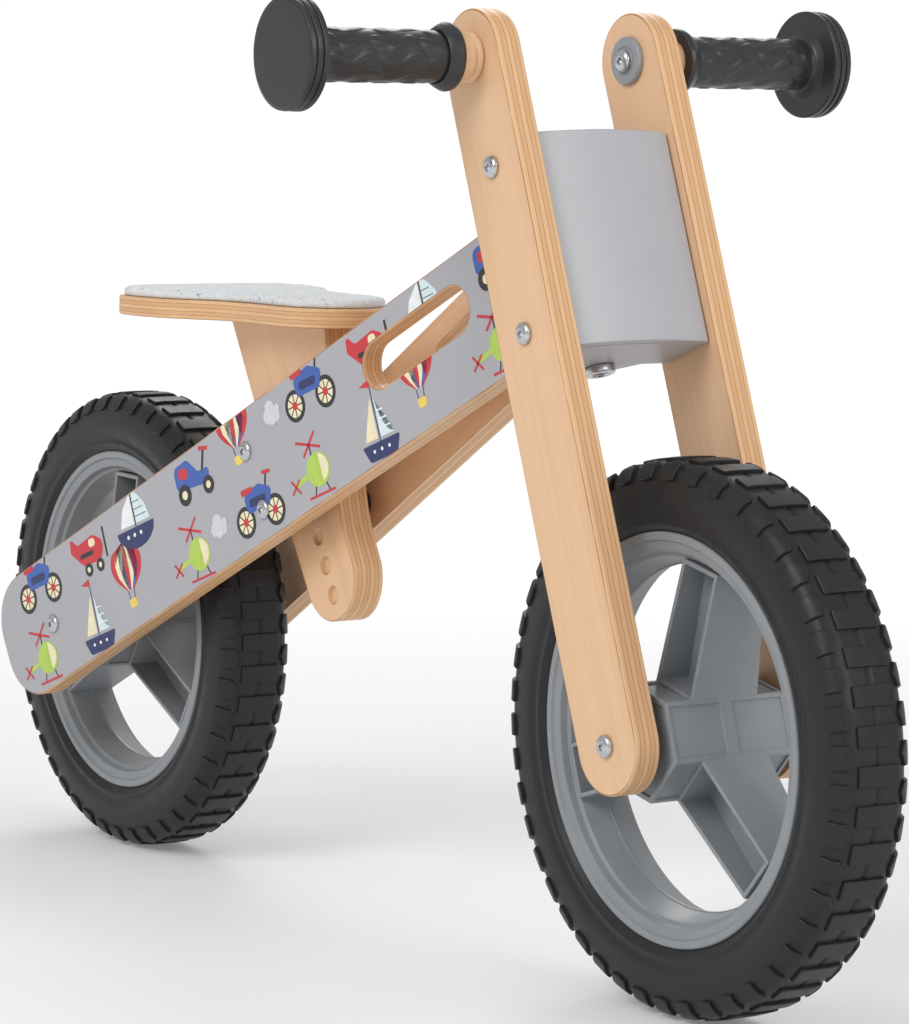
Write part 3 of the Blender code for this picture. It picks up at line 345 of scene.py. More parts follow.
def ply_edge(first_face, thickness, plies):
    """Edge of a board: layers with the grain, layers across it, and glue lines."""
    def make(name):
        colours = bpy.context.scene.bike_finishes
        material, tree, shader, spot = new_material(name, {"Coat Weight": 0.15, "Coat Roughness": 0.3})
        layers = use_group(tree, "ply_layers", {"Vector": spot, "First face": first_face,
                                                "Thickness": thickness,
                                                "Plies": float(plies)})
        grain = use_group(tree, "wood_grain", {"Vector": spot, "Fineness": 1.4})
        pores = stretched_noise(tree, spot, (1.0, 1.0, 1.0), 2600.0, 2.0)
        light = blend_colour(tree, ease(tree, grain["Fibre"], 0.35, 0.65, 0.0, 0.55), colours.ply_light,
                             colours.birch_dark)
        dark = blend_colour(tree, ease(tree, pores, 0.42, 0.62, 0.0, 0.4), colours.ply_dark, colours.glue)
        layered = blend_colour(tree, calc(tree, "MULTIPLY", layers["Crossing"], 0.30), light, dark)
        lined = blend_colour(tree, calc(tree, "MULTIPLY", layers["Glue"], 0.80), layered, colours.glue)
        tree.links.new(lined, shader["Base Color"])
        tree.links.new(ease(tree, layers["Crossing"], 0.0, 1.0, 0.46, 0.60), shader["Roughness"])
        height = calc(tree, "SUBTRACT", calc(tree, "MULTIPLY", pores, 0.35), layers["Glue"])
        tree.links.new(bump(tree, height, 0.25, 0.00025), shader["Normal"])
        return material
    return make


def smooth_finish(colour_of, constants, clouds=0.06, roughness=(0.38, 0.46), cloud_size=0.03,
                  peel_size=0.0009,
                  peel=0.05):
    """A painted or moulded surface of one colour, with faint clouding and orange peel."""
    def make(name):
        base = colour_of() if callable(colour_of) else colour_of
        material, tree, shader, spot = new_material(name, constants)
        mottle = use_group(tree, "surface_mottle", {"Vector": spot, "Cloud size": cloud_size,
                                                    "Peel size": peel_size})
        darker = tuple(value * (1 - clouds) for value in base)
        lighter = tuple(min(1.0, value * (1 + clouds)) for value in base)
        tree.links.new(blend_colour(tree, ease(tree, mottle["Cloud"], 0.35, 0.65), darker, lighter),
                       shader["Base Color"])
        tree.links.new(ease(tree, mottle["Cloud"], 0.3, 0.7, *roughness), shader["Roughness"])
        tree.links.new(bump(tree, mottle["Peel"], peel, 0.0003), shader["Normal"])
        return material
    return make


def felt_finish(name):
    """Pressed felt: pale wool with matted fibres and grey-blue flecks."""
    colours = bpy.context.scene.bike_finishes
    material, tree, shader, spot = new_material(name, {"Roughness": 0.95, "Sheen Weight": 0.25,
                                                       "Sheen Roughness": 0.6})
    fibres = stretched_noise(tree, spot, (1.0, 1.0, 1.0), 900.0, 4.0, 0.65, 1.5)
    matted = stretched_noise(tree, spot, (1.0, 1.0, 1.0), 150.0, 3.0, 0.6, 0.8)
    flecks = stretched_noise(tree, spot, (1.0, 1.0, 1.0), 520.0, 1.0, 0.4, 0.6)
    wool = blend_colour(tree, ease(tree, matted, 0.35, 0.65, 0.0, 0.6), colours.felt, tint(206, 210, 214))
    shaded = blend_colour(tree, ease(tree, fibres, 0.42, 0.60, 0.0, 0.35), wool, tint(184, 190, 196))
    tree.links.new(blend_colour(tree, ease(tree, flecks, 0.64, 0.72, 0.0, 0.75), shaded,
                                tint(112, 124, 136)),
                   shader["Base Color"])
    tree.links.new(bump(tree, fibres, 0.55, 0.0006), shader["Normal"])
    return material


def metal_finish(name):
    """Zinc-plated steel, faintly brushed."""
    material, tree, shader, spot = new_material(name, {"Metallic": 1.0})
    mottle = use_group(tree, "surface_mottle", {"Vector": spot, "Cloud size": 0.002, "Peel size": 0.0003})
    tree.links.new(blend_colour(tree, mottle["Cloud"], tint(176, 178, 182), tint(214, 215, 218)),
                   shader["Base Color"])
    tree.links.new(ease(tree, mottle["Cloud"], 0.3, 0.7, 0.20, 0.34), shader["Roughness"])
    tree.links.new(bump(tree, mottle["Peel"], 0.04, 0.0001), shader["Normal"])
    return material


def finish_colour(key):
    return lambda: tuple(getattr(bpy.context.scene.bike_finishes, key))


PRINT_COLOURS = {
    "navy": (30, 42, 96), "blue": (54, 92, 170), "red": (200, 40, 52), "cream": (238, 226, 188),
    "green": (176, 206, 84), "white": (236, 238, 240), "pale_sail": (214, 232, 234),
    "yellow": (236, 206, 88),
    "black": (30, 30, 36), "puff": (206, 208, 214),
}
MATERIALS = {
    "birch_face": birch_face,
    "board_edge_right": ply_edge(0.0, PANEL_THICKNESS, 5),
    "board_edge_left": ply_edge(-PANEL_THICKNESS, PANEL_THICKNESS, 5),
    "leg_edge": ply_edge(0.0, LEG_OUTER - LEG_INNER, 5),
    "post_edge": ply_edge(-0.0100, 0.0200, 7),
    "seat_edge": ply_edge(0.0, 0.0115, 5),
    "board_paint": smooth_finish(finish_colour("board_grey"), {"Coat Weight": 0.2, "Coat Roughness": 0.3},
                                 0.015,
                                 (0.42, 0.48), 0.05, 0.0012, 0.05),
    "head_paint": smooth_finish(finish_colour("head_grey"), {"Coat Weight": 0.25, "Coat Roughness": 0.3},
                                0.012,
                                (0.38, 0.44), 0.04, 0.0016, 0.06),
    "rim_plastic": smooth_finish(finish_colour("rim_grey"), {"Coat Weight": 0.12, "Coat Roughness": 0.35},
                                 0.03,
                                 (0.36, 0.44), 0.02, 0.0006, 0.06),
    "tyre_foam": smooth_finish(finish_colour("tyre"), {"Specular IOR Level": 0.32}, 0.10, (0.38, 0.48),
                               0.008,
                               0.0005, 0.12),
    "grip_rubber": smooth_finish(finish_colour("grip"), {"Specular IOR Level": 0.5}, 0.08, (0.32, 0.42),
                                 0.01,
                                 0.0005, 0.10),
    "bush_plastic": smooth_finish(tint(58, 59, 62), {}, 0.06, (0.40, 0.50), 0.01, 0.0005, 0.08),
    "cap_plastic": smooth_finish(tint(142, 145, 150), {"Coat Weight": 0.1}, 0.03, (0.36, 0.44), 0.01,
                                 0.0006, 0.05),
    "socket_dark": smooth_finish(tint(40, 41, 44), {}, 0.08, (0.45, 0.55), 0.004, 0.0004, 0.08),
    "felt": felt_finish,
    "steel": metal_finish,
}
for ink, shade in PRINT_COLOURS.items():
    MATERIALS[f"ink_{ink}"] = smooth_finish(tint(*shade), {"Coat Weight": 0.2, "Coat Roughness": 0.3}, 0.03,
                                            (0.42, 0.50), 0.006, 0.0006, 0.04)


BUILT = {}


def material_named(name):
    """A finish, built the first time that a piece asks for it."""
    if name not in BUILT:
        BUILT[name] = MATERIALS[name](f"bike_{name}")
    return BUILT[name]


# ---------------------------------------------------------------- mesh helpers
def mesh_from(bm, name, sharp_angle=32.0):
    bmesh.ops.recalc_face_normals(bm, faces=bm.faces)
    mesh = bpy.data.meshes.new(name)
    bm.to_mesh(mesh)
    bm.free()
    mesh.shade_smooth()
    if sharp_angle:
        mesh.set_sharp_from_angle(angle=math.radians(sharp_angle))
    return mesh


def put(name, mesh, place=None, materials=()):
    item = bpy.data.objects.new(name, mesh)
    bpy.context.scene.collection.objects.link(item)
    if place is not None:
        item.matrix_world = place
    for material in materials:
        mesh.materials.append(material_named(material))
    return item


def attach(item, body, nodes):
    """Make a piece ride on its body in place of its nodes."""
    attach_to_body(item, body)
    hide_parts(*nodes)


def arc(cx, cy, radius, start, end, steps):
    """Points of an arc, both ends included; angles in radians."""
    turn = (end - start) / steps
    return [(cx + radius * math.cos(start + turn * i), cy + radius * math.sin(start + turn * i))
            for i in range(steps + 1)]


def rounded(corners, steps=8):
    """A closed outline with its corners rounded; each corner is (x, y, radius)."""
    outline = []
    for i, (x, y, radius) in enumerate(corners):
        here = Vector((x, y))
        back = Vector(corners[i - 1][:2]) - here
        ahead = Vector(corners[(i + 1) % len(corners)][:2]) - here
        if radius <= 0:
            outline.append((x, y))
            continue
        half = back.angle(ahead) / 2
        cut = min(radius / math.tan(half), 0.48 * back.length, 0.48 * ahead.length)
        radius = cut * math.tan(half)
        centre = here + (back.normalized() + ahead.normalized()).normalized() * (radius / math.sin(half))
        first = here + back.normalized() * cut - centre
        last = here + ahead.normalized() * cut - centre
        start = math.atan2(first.y, first.x)
        sweep = (math.atan2(last.y, last.x) - start + math.pi) % (2 * math.pi) - math.pi
        outline += arc(centre.x, centre.y, radius, start, start + sweep, steps)
    return outline


def slab(name, outline, low, high):
    """A board on an outline in x and z, from low to high along y.

    Its materials are the edge's, then the high face's, then the low face's.
    """
    bm = bmesh.new()
    near = [bm.verts.new((x, low, z)) for x, z in outline]
    far = [bm.verts.new((x, high, z)) for x, z in outline]
    bm.faces.new(near).material_index = 2
    bm.faces.new(far).material_index = 1
    for i in range(len(outline)):
        j = (i + 1) % len(outline)
        bm.faces.new((near[i], near[j], far[j], far[i])).material_index = 0
    return mesh_from(bm, name, 0)


def turned(name, profile, steps, axis="y", lift=None, sharp_angle=32.0):
    """Revolve a closed profile of (radius, distance); lift may move a point out by angle and distance."""
    bm = bmesh.new()
    rings = []
    for radius, along in profile:
        ring = []
        for k in range(1 if radius == 0 else steps):
            turn = 2 * math.pi * k / steps
            reach = radius + (lift(turn, along, radius) if lift and radius else 0.0)
            u, v = reach * math.cos(turn), reach * math.sin(turn)
            ring.append(bm.verts.new({"x": (along, u, v), "y": (u, along, v), "z": (u, v, along)}[axis]))
        rings.append(ring)
    for i, ring in enumerate(rings):
        follow = rings[(i + 1) % len(rings)]
        if len(ring) == 1 and len(follow) == 1:
            continue
        for k in range(steps):
            n = (k + 1) % steps
            corners = (ring[k % len(ring)], ring[n % len(ring)], follow[n % len(follow)],
                       follow[k % len(follow)])
            bm.faces.new(list(dict.fromkeys(corners)))
    return mesh_from(bm, name, sharp_angle)


def soften(item, width, segments=3, material=0, angle=40.0):
    """Round the edges of a piece and keep its flat faces flat in the shading."""
    edges = item.modifiers.new("rounded_edges", "BEVEL")
    edges.width = width
    edges.segments = segments
    edges.limit_method = "ANGLE"
    edges.angle_limit = math.radians(angle)
    edges.material = material
    item.modifiers.new("even_shading", "WEIGHTED_NORMAL").keep_sharp = False


def cut(item, cutter):
    """Take a cutter's shape out of a piece at once, then drop the cutter."""
    modifier = item.modifiers.new("cut", "BOOLEAN")
    modifier.object = cutter
    modifier.solver = "EXACT"
    bpy.context.view_layer.update()
    shape = bpy.data.meshes.new_from_object(item.evaluated_get(bpy.context.evaluated_depsgraph_get()))
    item.modifiers.remove(modifier)
    if len(shape.polygons) < 6 or len(shape.vertices) == len(item.data.vertices):
        raise RuntimeError(f"the cut in {item.name} failed")
    item.data = shape
    bpy.data.objects.remove(cutter)


def join_meshes(name, meshes):
    """One mesh from several; each comes as (mesh, matrix)."""
    bm = bmesh.new()
    for mesh, matrix in meshes:
        part = bmesh.new()
        part.from_mesh(mesh)
        part.transform(matrix)
        moved = bpy.data.meshes.new("moved")
        part.to_mesh(moved)
        part.free()
        bm.from_mesh(moved)
    mesh = bpy.data.meshes.new(name)
    bm.to_mesh(mesh)
    bm.free()
    return mesh


def turn_into(points, origin, angle):
    """Points of a plane seen from an origin, with x turned by an angle."""
    c, s = math.cos(angle), math.sin(angle)
    return [((x - origin[0]) * c + (z - origin[1]) * s, (z - origin[1]) * c - (x - origin[0]) * s)
            for x, z in points]


def spline(knots, steps):
    """Smooth curve through a few points."""
    curve = []
    for i in range(len(knots) - 1):
        p = [Vector(knots[max(0, min(len(knots) - 1, i + k))]) for k in (-1, 0, 1, 2)]
        for k in range(steps):
            t = k / steps
            point = 0.5 * (2 * p[1] + (p[2] - p[0]) * t + (2 * p[0] - 5 * p[1] + 4 * p[2] - p[3]) * t * t
                           + (3 * p[1] - p[0] - 3 * p[2] + p[3]) * t ** 3)
            curve.append(tuple(point))
    return curve + [tuple(knots[-1])]


# ---------------------------------------------------------------- side boards
def board_place(side):
    """Place of a side board: x runs along it, y out of the middle plane, z across it."""
    spot = Matrix.Translation((REAR_AXLE.x, side * PANEL_REAR_HALF_SPACING, REAR_AXLE.z))
    return spot @ Matrix.Rotation(-side * PANEL_TOE_IN, 4, "Z") @ Matrix.Rotation(-PANEL_PITCH, 4, "Y")


def on_board(point):
    """A world point as (along, across) on a side board."""
    flat = ((point.x - REAR_AXLE.x) / math.cos(PANEL_TOE_IN), point.z - REAR_AXLE.z)
    return turn_into([flat], (0, 0), PANEL_PITCH)[0]


def board_steps():
    """Where the board is cut down between the crosspieces: (step, shoulder, front) below and above."""
    sizes = bpy.context.scene.bike_boards
    found = []
    for way in (-1, 1):
        height = HEAD_MIDDLE + way * HEAD_BLOCK_HALF
        shoulder = Vector(on_board(fork_point(-0.026, height)))
        above = Vector(on_board(fork_point(-0.026, height + 0.1)))
        front = Vector(on_board(fork_point(0.026, height)))
        edge = PANEL_CENTRE_OFFSET + way * sizes.width / 2
        heading = above - shoulder
        step = shoulder + heading * ((edge - shoulder.y) / heading.y)
        found.append((step, shoulder, front))
    return found


def board_outline():
    sizes = bpy.context.scene.bike_boards
    (low_step, low_shoulder, low_front), (high_step, high_shoulder, high_front) = board_steps()
    low, high = (PANEL_CENTRE_OFFSET + way * sizes.width / 2 for way in (-1, 1))
    rear = -sizes.rear_overhang
    return rounded([(rear, low, sizes.end_radius), (*low_step, 0.010), (*low_shoulder, 0.003),
                    (*low_front, 0),
                    (*high_front, 0), (*high_shoulder, 0.002), (*high_step, 0.008),
                    (rear, high, sizes.end_radius)],
                   14)


def slot_outline(margin=0.0, steps=18):
    """The carrying slot as a convex outline on the board."""
    sizes = bpy.context.scene.bike_boards
    radius = sizes.slot_width / 2 + margin
    across = PANEL_CENTRE_OFFSET + sizes.slot_above
    points = []
    for end, start in ((1, -math.pi / 2), (-1, math.pi / 2)):
        centre = sizes.slot_along + end * (sizes.slot_length - sizes.slot_width) / 2
        points += arc(centre, across, radius, start, start + math.pi, steps)
    return points


def scarf_cutter(side):
    """Cutter ahead of the sloping end where a board meets the head block."""
    middle = fork_point(0, HEAD_MIDDLE).x
    outer_x, inner_x = middle - 0.016, middle - 0.055
    slope = math.tan(PANEL_TOE_IN)
    outer = Vector((outer_x, side * (PANEL_REAR_HALF_SPACING - (outer_x - REAR_AXLE.x) * slope)))
    inner = Vector((inner_x, side * (PANEL_REAR_HALF_SPACING - (inner_x - REAR_AXLE.x) * slope
                                     - PANEL_THICKNESS / math.cos(PANEL_TOE_IN))))
    along = (outer - inner).normalized()
    normal = Vector((along.y, -along.x)) * side
    outline = [inner - along * 0.02, inner + along * 0.15, inner + along * 0.15 + normal * 0.10,
               inner - along * 0.02 + normal * 0.10]
    bm = bmesh.new()
    low = [bm.verts.new((x, y, 0.15)) for x, y in outline]
    high = [bm.verts.new((x, y, 0.60)) for x, y in outline]
    bm.faces.new(low)
    bm.faces.new(high)
    for i in range(4):
        j = (i + 1) % 4
        bm.faces.new((low[i], low[j], high[j], high[i]))
    return put("scarf_cutter", mesh_from(bm, "scarf_cutter", 0))


class BIKE_OT_side_boards(bpy.types.Operator):
    """Two leaning plywood boards with a carrying slot: painted outside, bare birch inside"""

    bl_idname = "bike.side_boards"
    bl_label = "Side boards"

    def execute(self, context):
        sizes = context.scene.bike_boards
        for label, side in SIDES.items():
            low, high = sorted((0.0, -side * PANEL_THICKNESS))
            faces = ["board_paint", "birch_face"] if side == 1 else ["birch_face", "board_paint"]
            board = put(f"{label}_side_board", slab("side_board", board_outline(), low, high),
                        board_place(side),
                        [f"board_edge_{label}"] + faces)
            slot = slab("slot", slot_outline(), -0.03, 0.03)
            for face in slot.polygons:
                face.material_index = 0
            cut(board, put("slot_cutter", slot, board_place(side), [f"board_edge_{label}"]))
            cut(board, scarf_cutter(side))
            soften(board, sizes.edge_round)
            attach(board, "frame", [f"side_panel_{label}"])
        return {"FINISHED"}


# ---------------------------------------------------------------- the print on the boards
class Drawing:
    """Flat shapes of a small picture, in millimetres, each with its ink and its layer."""

    def __init__(self):
        self.shapes = []

    def shape(self, ink, layer, points):
        self.shapes.append((ink, layer, [Vector(point) for point in points]))

    def disc(self, ink, layer, x, y, radius, squash=1.0, steps=28):
        self.shape(ink, layer, [(x + radius * math.cos(a), y + radius * squash * math.sin(a))
                                for a in (2 * math.pi * k / steps for k in range(steps))])

    def stroke(self, ink, layer, start, end, width):
        start, end = Vector(start), Vector(end)
        side = (end - start).orthogonal().normalized() * width / 2
        self.shape(ink, layer, [start + side, start - side, end - side, end + side])

    def wheel(self, x, y, radius, hub_ink="red", spokes=8):
        self.disc("black", 1, x, y, radius)
        self.disc("cream", 2, x, y, radius * 0.72)
        for k in range(spokes):
            a = 2 * math.pi * k / spokes
            self.stroke("black", 3, (x, y), (x + 0.74 * radius * math.cos(a),
                                             y + 0.74 * radius * math.sin(a)), 0.8)
        self.disc(hub_ink, 4, x, y, radius * 0.26)


def draw_buggy():
    """A two-wheeled cart with big spoked wheels and a box for a body."""
    d = Drawing()
    d.shape("blue", 2, rounded([(-11, -2, 2), (11, -2, 3), (15, 8, 3), (3, 13, 3), (-13, 9, 4)], 4))
    d.shape("navy", 3, rounded([(-8, 1, 1), (7, 1, 1), (9, 6, 2), (-8, 6, 2)], 3))
    d.shape("red", 4, rounded([(-14, 9, 1), (-3, 10, 1), (-3, 13, 1), (-15, 13, 1.5)], 3))
    d.stroke("black", 1, (9, 8), (13, 18), 1.6)
    d.stroke("red", 3, (9, 18), (17, 17), 2.2)
    d.wheel(-15, -6, 9.5)
    d.wheel(15, -6, 9.5)
    return d


def draw_scooter(body, trim):
    """A small ride-on with a curled body and two wheels."""
    d = Drawing()
    d.shape(body, 1, rounded([(-19, -5, 3), (14, -8, 3), (17, 2, 3), (5, 1, 4), (-4, 11, 4), (-19, 9, 5)],
                             5))
    d.shape(trim, 2, rounded([(-15, 1, 1.5), (-5, 0, 1.5), (-6, 7, 2), (-15, 7, 2)], 4))
    d.stroke("black", 1, (9, 0), (15, 14), 2.0)
    d.stroke(trim, 2, (10, 14), (19, 12), 2.4)
    for x, radius in ((-12, 6.5), (13, 5.5)):
        d.disc("black", 3, x, -9, radius)
        d.disc("cream", 4, x, -9, radius * 0.42)
    return d


def draw_plane():
    """A round-nosed toy plane with a bubble window and a spinner."""
    d = Drawing()
    d.shape("red", 1, rounded([(-20, 2, 2), (-8, -9, 6), (12, -9, 7), (17, 2, 6), (6, 8, 5), (-12, 5, 4),
                               (-19, 13, 2)], 5))
    d.shape("cream", 2, rounded([(0, 1, 2), (8, 1, 2), (7, 6, 2), (1, 6, 2)], 4))
    d.shape("black", 2, rounded([(-11, -4, 2), (4, -4, 2), (4, -1, 1), (-11, -1, 2)], 4))
    d.stroke("black", 2, (18, -9), (18, 10), 1.8)
    for x in (-4, 9):
        d.disc("black", 3, x, -12, 4.2)
        d.disc("cream", 4, x, -12, 1.7)
    return d


def draw_balloon():
    """A hot-air balloon in gores of three colours, over a small basket."""
    d = Drawing()
    gores = ("red", "cream", "blue", "red", "cream", "blue", "red")
    count = len(gores)

    def across(share, height):
        swell = math.sin(math.pi * min(1.0, 0.12 + 0.88 * (1 - height))) ** 0.62 if height < 1 else 0.0
        return (share - 0.5) * 33 * max(swell, 0.22)

    heights = [k / 12 for k in range(13)]
    for k, ink in enumerate(gores):
        left = [(across(k / count, h) * (1 - 0.93 * max(0.0, h - 0.86) / 0.14),
                 30 * h - 8) for h in heights]
        right = [(across((k + 1) / count, h) * (1 - 0.93 * max(0.0, h - 0.86) / 0.14),
                  30 * h - 8) for h in heights]
        d.shape(ink, 1, left + right[::-1])
    for x in (-3.2, 3.2):
        d.stroke("navy", 1, (x, -8), (x * 0.8, -14), 0.7)
    d.shape("yellow", 2, rounded([(-3.4, -19, 1), (3.4, -19, 1), (4, -13.5, 0.6), (-4, -13.5, 0.6)], 3))
    return d


def draw_tall_boat():
    """A narrow sailing boat with a tall striped sail and a pennant."""
    d = Drawing()
    d.stroke("navy", 1, (0, -14), (0, 23), 0.9)
    d.shape("red", 2, [(0.4, 23), (-9, 20.5), (0.4, 18)])
    sail = [(1.4, -11), (15, -11)] + [(15 - 13.4 * math.sin(a), -11 + 27 * (1 - math.cos(a)))
                                      for a in (math.pi / 2 * k / 8 for k in range(1, 8))] + [(1.4, 16)]
    d.shape("pale_sail", 2, sail)
    d.shape("cream", 2, [(-1.4, -11), (-13, -11), (-8, 0), (-1.4, 13)])
    for height in (-6, -1, 4):
        d.stroke("white", 3, (1.6, height), (14 - 0.42 * (height + 11), height), 0.9)
    d.shape("navy", 2, rounded([(-17, -13, 1), (18, -13, 1), (13, -23, 3), (-12, -23, 3)], 5))
    for x in (-7, 0, 7):
        d.disc("white", 3, x, -17.5, 1.1, steps=12)
    return d


def draw_round_boat():
    """A tub of a boat with two pale sails."""
    d = Drawing()
    turns = (math.pi + math.pi * k / 16 for k in range(17))
    hull = [(20 * math.cos(a), -6 + 13 * math.sin(a)) for a in turns]
    d.shape("navy", 2, hull)
    d.stroke("black", 1, (1, -6), (1, 19), 0.9)
    d.shape("pale_sail", 2, [(2, -4), (17, -4), (14, 6), (8, 13), (2, 17)])
    d.shape("white", 2, [(0, -4), (-15, -4), (-10, 7), (0, 15)])
    for height in (0, 4.5, 9):
        d.stroke("navy", 3, (2, height), (14 - 0.55 * height, height), 0.5)
    for x in (-9, -2, 5):
        d.disc("white", 3, x, -10.5, 1.3, steps=12)
    return d


def draw_helicopter():
    """A round green helicopter under a crossed red rotor."""
    d = Drawing()
    d.stroke("red", 2, (-13, 19), (9, 11), 1.6)
    d.stroke("red", 2, (-8, 9), (6, 21), 1.6)
    d.stroke("black", 1, (-1, 7), (-1, 15), 1.1)
    d.stroke("green", 1, (-2, -1), (-20, -5), 3.0)
    for start, end in (((-25, -9), (-16, -2)), ((-24, -1), (-17, -10))):
        d.stroke("red", 3, start, end, 1.4)
    d.disc("green", 2, 3, -1, 11.0, 0.92)
    d.shape("cream", 3, [(3 + 9.6 * math.cos(a), -0.5 + 8.6 * math.sin(a))
                         for a in (-1.25 + 2.6 * k / 14 for k in range(15))])
    d.stroke("green", 4, (3, -9), (3, 8), 1.0)
    d.stroke("black", 1, (-2, -10), (-4, -15), 1.0)
    d.stroke("black", 1, (8, -10), (10, -15), 1.0)
    d.stroke("red", 2, (-10, -15.5), (15, -15.5), 1.5)
    return d


def draw_puff():
    d = Drawing()
    blobs = ((-4, -1, 4.2), (3.5, -1.5, 4.6), (-0.5, 3, 4.8), (0, -3, 4.0), (6.5, 1.5, 2.6))
    for layer, (x, y, radius) in enumerate(blobs, 1):
        d.disc("puff", layer, x, y, radius, steps=18)
    return d


# Two rows of pictures, from the rear: what it is, how far along and how far across in millimetres.
PRINT_ROWS = (
    (draw_buggy, -3.5, 25.0), (draw_plane, 58.0, 24.0), (draw_round_boat, 111.0, 24.0),
    (lambda: draw_scooter("blue", "red"), 180.0, 23.0), (draw_balloon, 228.0, 30.0),
    (draw_puff, 267.0, 26.0),
    (draw_helicopter, -18.0, -19.0), (draw_tall_boat, 46.0, -15.0), (draw_balloon, 90.0, -7.0),
    (draw_helicopter, 162.0, -20.0), (draw_puff, 190.0, -14.0), (draw_buggy, 232.0, -18.0),
)
PRINT_LEAN = math.radians(-6.5)
PRINT_REACH = 0.62  # farthest a picture's middle may lie ahead of the board's rear end
INK_STEP = 0.00005  # height of one layer of ink


def cut_along(bm, start, end, height):
    """Cut every face of a flat drawing along the line through two points."""
    heading = Vector((end[0] - start[0], 0, end[1] - start[1]))
    normal = heading.cross(Vector((0, 1, 0)))
    bmesh.ops.bisect_plane(bm, geom=bm.verts[:] + bm.edges[:] + bm.faces[:], dist=1e-7,
                           plane_co=(start[0], height, start[1]), plane_no=normal)


def inside(point, outline):
    """Whether a point lies in an outline that turns one way."""
    turns = []
    for i, (x, z) in enumerate(outline):
        nx, nz = outline[(i + 1) % len(outline)]
        turns.append((nx - x) * (point[1] - z) - (nz - z) * (point[0] - x))
    return min(turns) > -1e-9 or max(turns) < 1e-9


def clip(bm, outline, keep_inside, height):
    """Keep what lies in an outline, or what lies outside it."""
    for i in range(len(outline)):
        cut_along(bm, outline[i], outline[(i + 1) % len(outline)], height)
    gone = []
    for face in bm.faces:
        centre = face.calc_center_median()
        if inside((centre.x, centre.z), outline) != keep_inside:
            gone.append(face)
    bmesh.ops.delete(bm, geom=gone, context="FACES")


def print_area():
    """Straight-sided part of the board's face that the print covers."""
    sizes = bpy.context.scene.bike_boards
    border = sizes.edge_round
    low, high = (PANEL_CENTRE_OFFSET + way * (sizes.width / 2 - border) for way in (-1, 1))
    rear = -sizes.rear_overhang + border
    (low_step, _, _), (high_step, _, _) = board_steps()
    return rounded([(rear, low, sizes.end_radius - border), (low_step.x - 0.008, low, 0),
                    (high_step.x - 0.007, high, 0), (rear, high, sizes.end_radius - border)], 7)


class BIKE_OT_board_prints(bpy.types.Operator):
    """Small printed vehicles in two rows on the outer face of each side board"""

    bl_idname = "bike.board_prints"
    bl_label = "Board prints"

    def execute(self, context):
        sizes = context.scene.bike_boards
        inks = sorted(PRINT_COLOURS)
        area, slot = print_area(), slot_outline(sizes.edge_round, 7)
        slot_ends = min(x for x, _ in slot), max(x for x, _ in slot)
        for label, side in SIDES.items():
            sheet = bmesh.new()
            for draw, along, across in PRINT_ROWS:
                for repeat in (0, 1):
                    at = along * MM + repeat * sizes.print_repeat
                    if at > area[0][0] + PRINT_REACH:
                        continue
                    self.add_picture(sheet, draw(), at, across * MM + PANEL_CENTRE_OFFSET, side, inks, area,
                                     slot,
                                     slot_ends)
            mesh = bpy.data.meshes.new("board_print")
            sheet.to_mesh(mesh)
            sheet.free()
            item = put(f"{label}_board_print", mesh, board_place(side), [f"ink_{ink}" for ink in inks])
            body = item.modifiers.new("ink_body", "SOLIDIFY")
            body.thickness = INK_STEP * 0.8
            body.offset = 0.0
            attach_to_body(item, "frame")
        return {"FINISHED"}

    def add_picture(self, sheet, drawing, along, across, side, inks, area, slot, slot_ends):
        c, s = math.cos(PRINT_LEAN), math.sin(PRINT_LEAN)
        for ink, layer, points in drawing.shapes:
            bm = bmesh.new()
            height = side * INK_STEP * (layer + 0.5)
            corners = []
            for point in points:
                x, z = (point.x * c - point.y * s) * MM, (point.x * s + point.y * c) * MM
                corners.append(bm.verts.new((along + x, height, across + z)))
            bm.faces.new(corners)
            bmesh.ops.triangulate(bm, faces=bm.faces[:])
            clip(bm, area, True, height)
            reach = [vertex.co.x for vertex in bm.verts]
            if reach and min(reach) < slot_ends[1] and max(reach) > slot_ends[0]:
                clip(bm, slot, False, height)
            bmesh.ops.dissolve_limit(bm, angle_limit=0.01, verts=bm.verts[:], edges=bm.edges[:])
            for face in bm.faces:
                face.material_index = inks.index(ink)
                if face.normal.y * side < 0:
                    face.normal_flip()
            flat = bpy.data.meshes.new("picture")
            bm.to_mesh(flat)
            bm.free()
            sheet.from_mesh(flat)
            bpy.data.meshes.remove(flat)


# ---------------------------------------------------------------- saddle
def post_outline():
    """Blade that is narrow and round below and flares back to carry the seat, in world x and z."""
    foot = LOWEST_HOLE + Vector((-0.0044, 0.0112))
    radius = 0.0272
    ahead = Vector((math.cos(SEAT_HOLE_LEAN), math.sin(SEAT_HOLE_LEAN)))
    up = Vector((-ahead.y, ahead.x))
    bottom = arc(foot.x, foot.y, radius, SEAT_HOLE_LEAN + math.pi + 0.05,
                 SEAT_HOLE_LEAN + 2 * math.pi - 0.16, 32)
    front_mid = foot + ahead * (radius - 0.0005) + up * 0.0270
    rear_mid = foot - ahead * (radius + 0.0030) + up * 0.0560
    front_top_x, rear_top_x = foot.x - 0.0065, foot.x - 0.1150
    corners = [(x, z, 0) for x, z in bottom]
    corners += [(*front_mid, 0.10), (front_top_x, seat_under(front_top_x) - GAP, 0),
                (rear_top_x, seat_under(rear_top_x) - GAP, 0), (*rear_mid, 0.16)]
    return rounded(corners, 12)


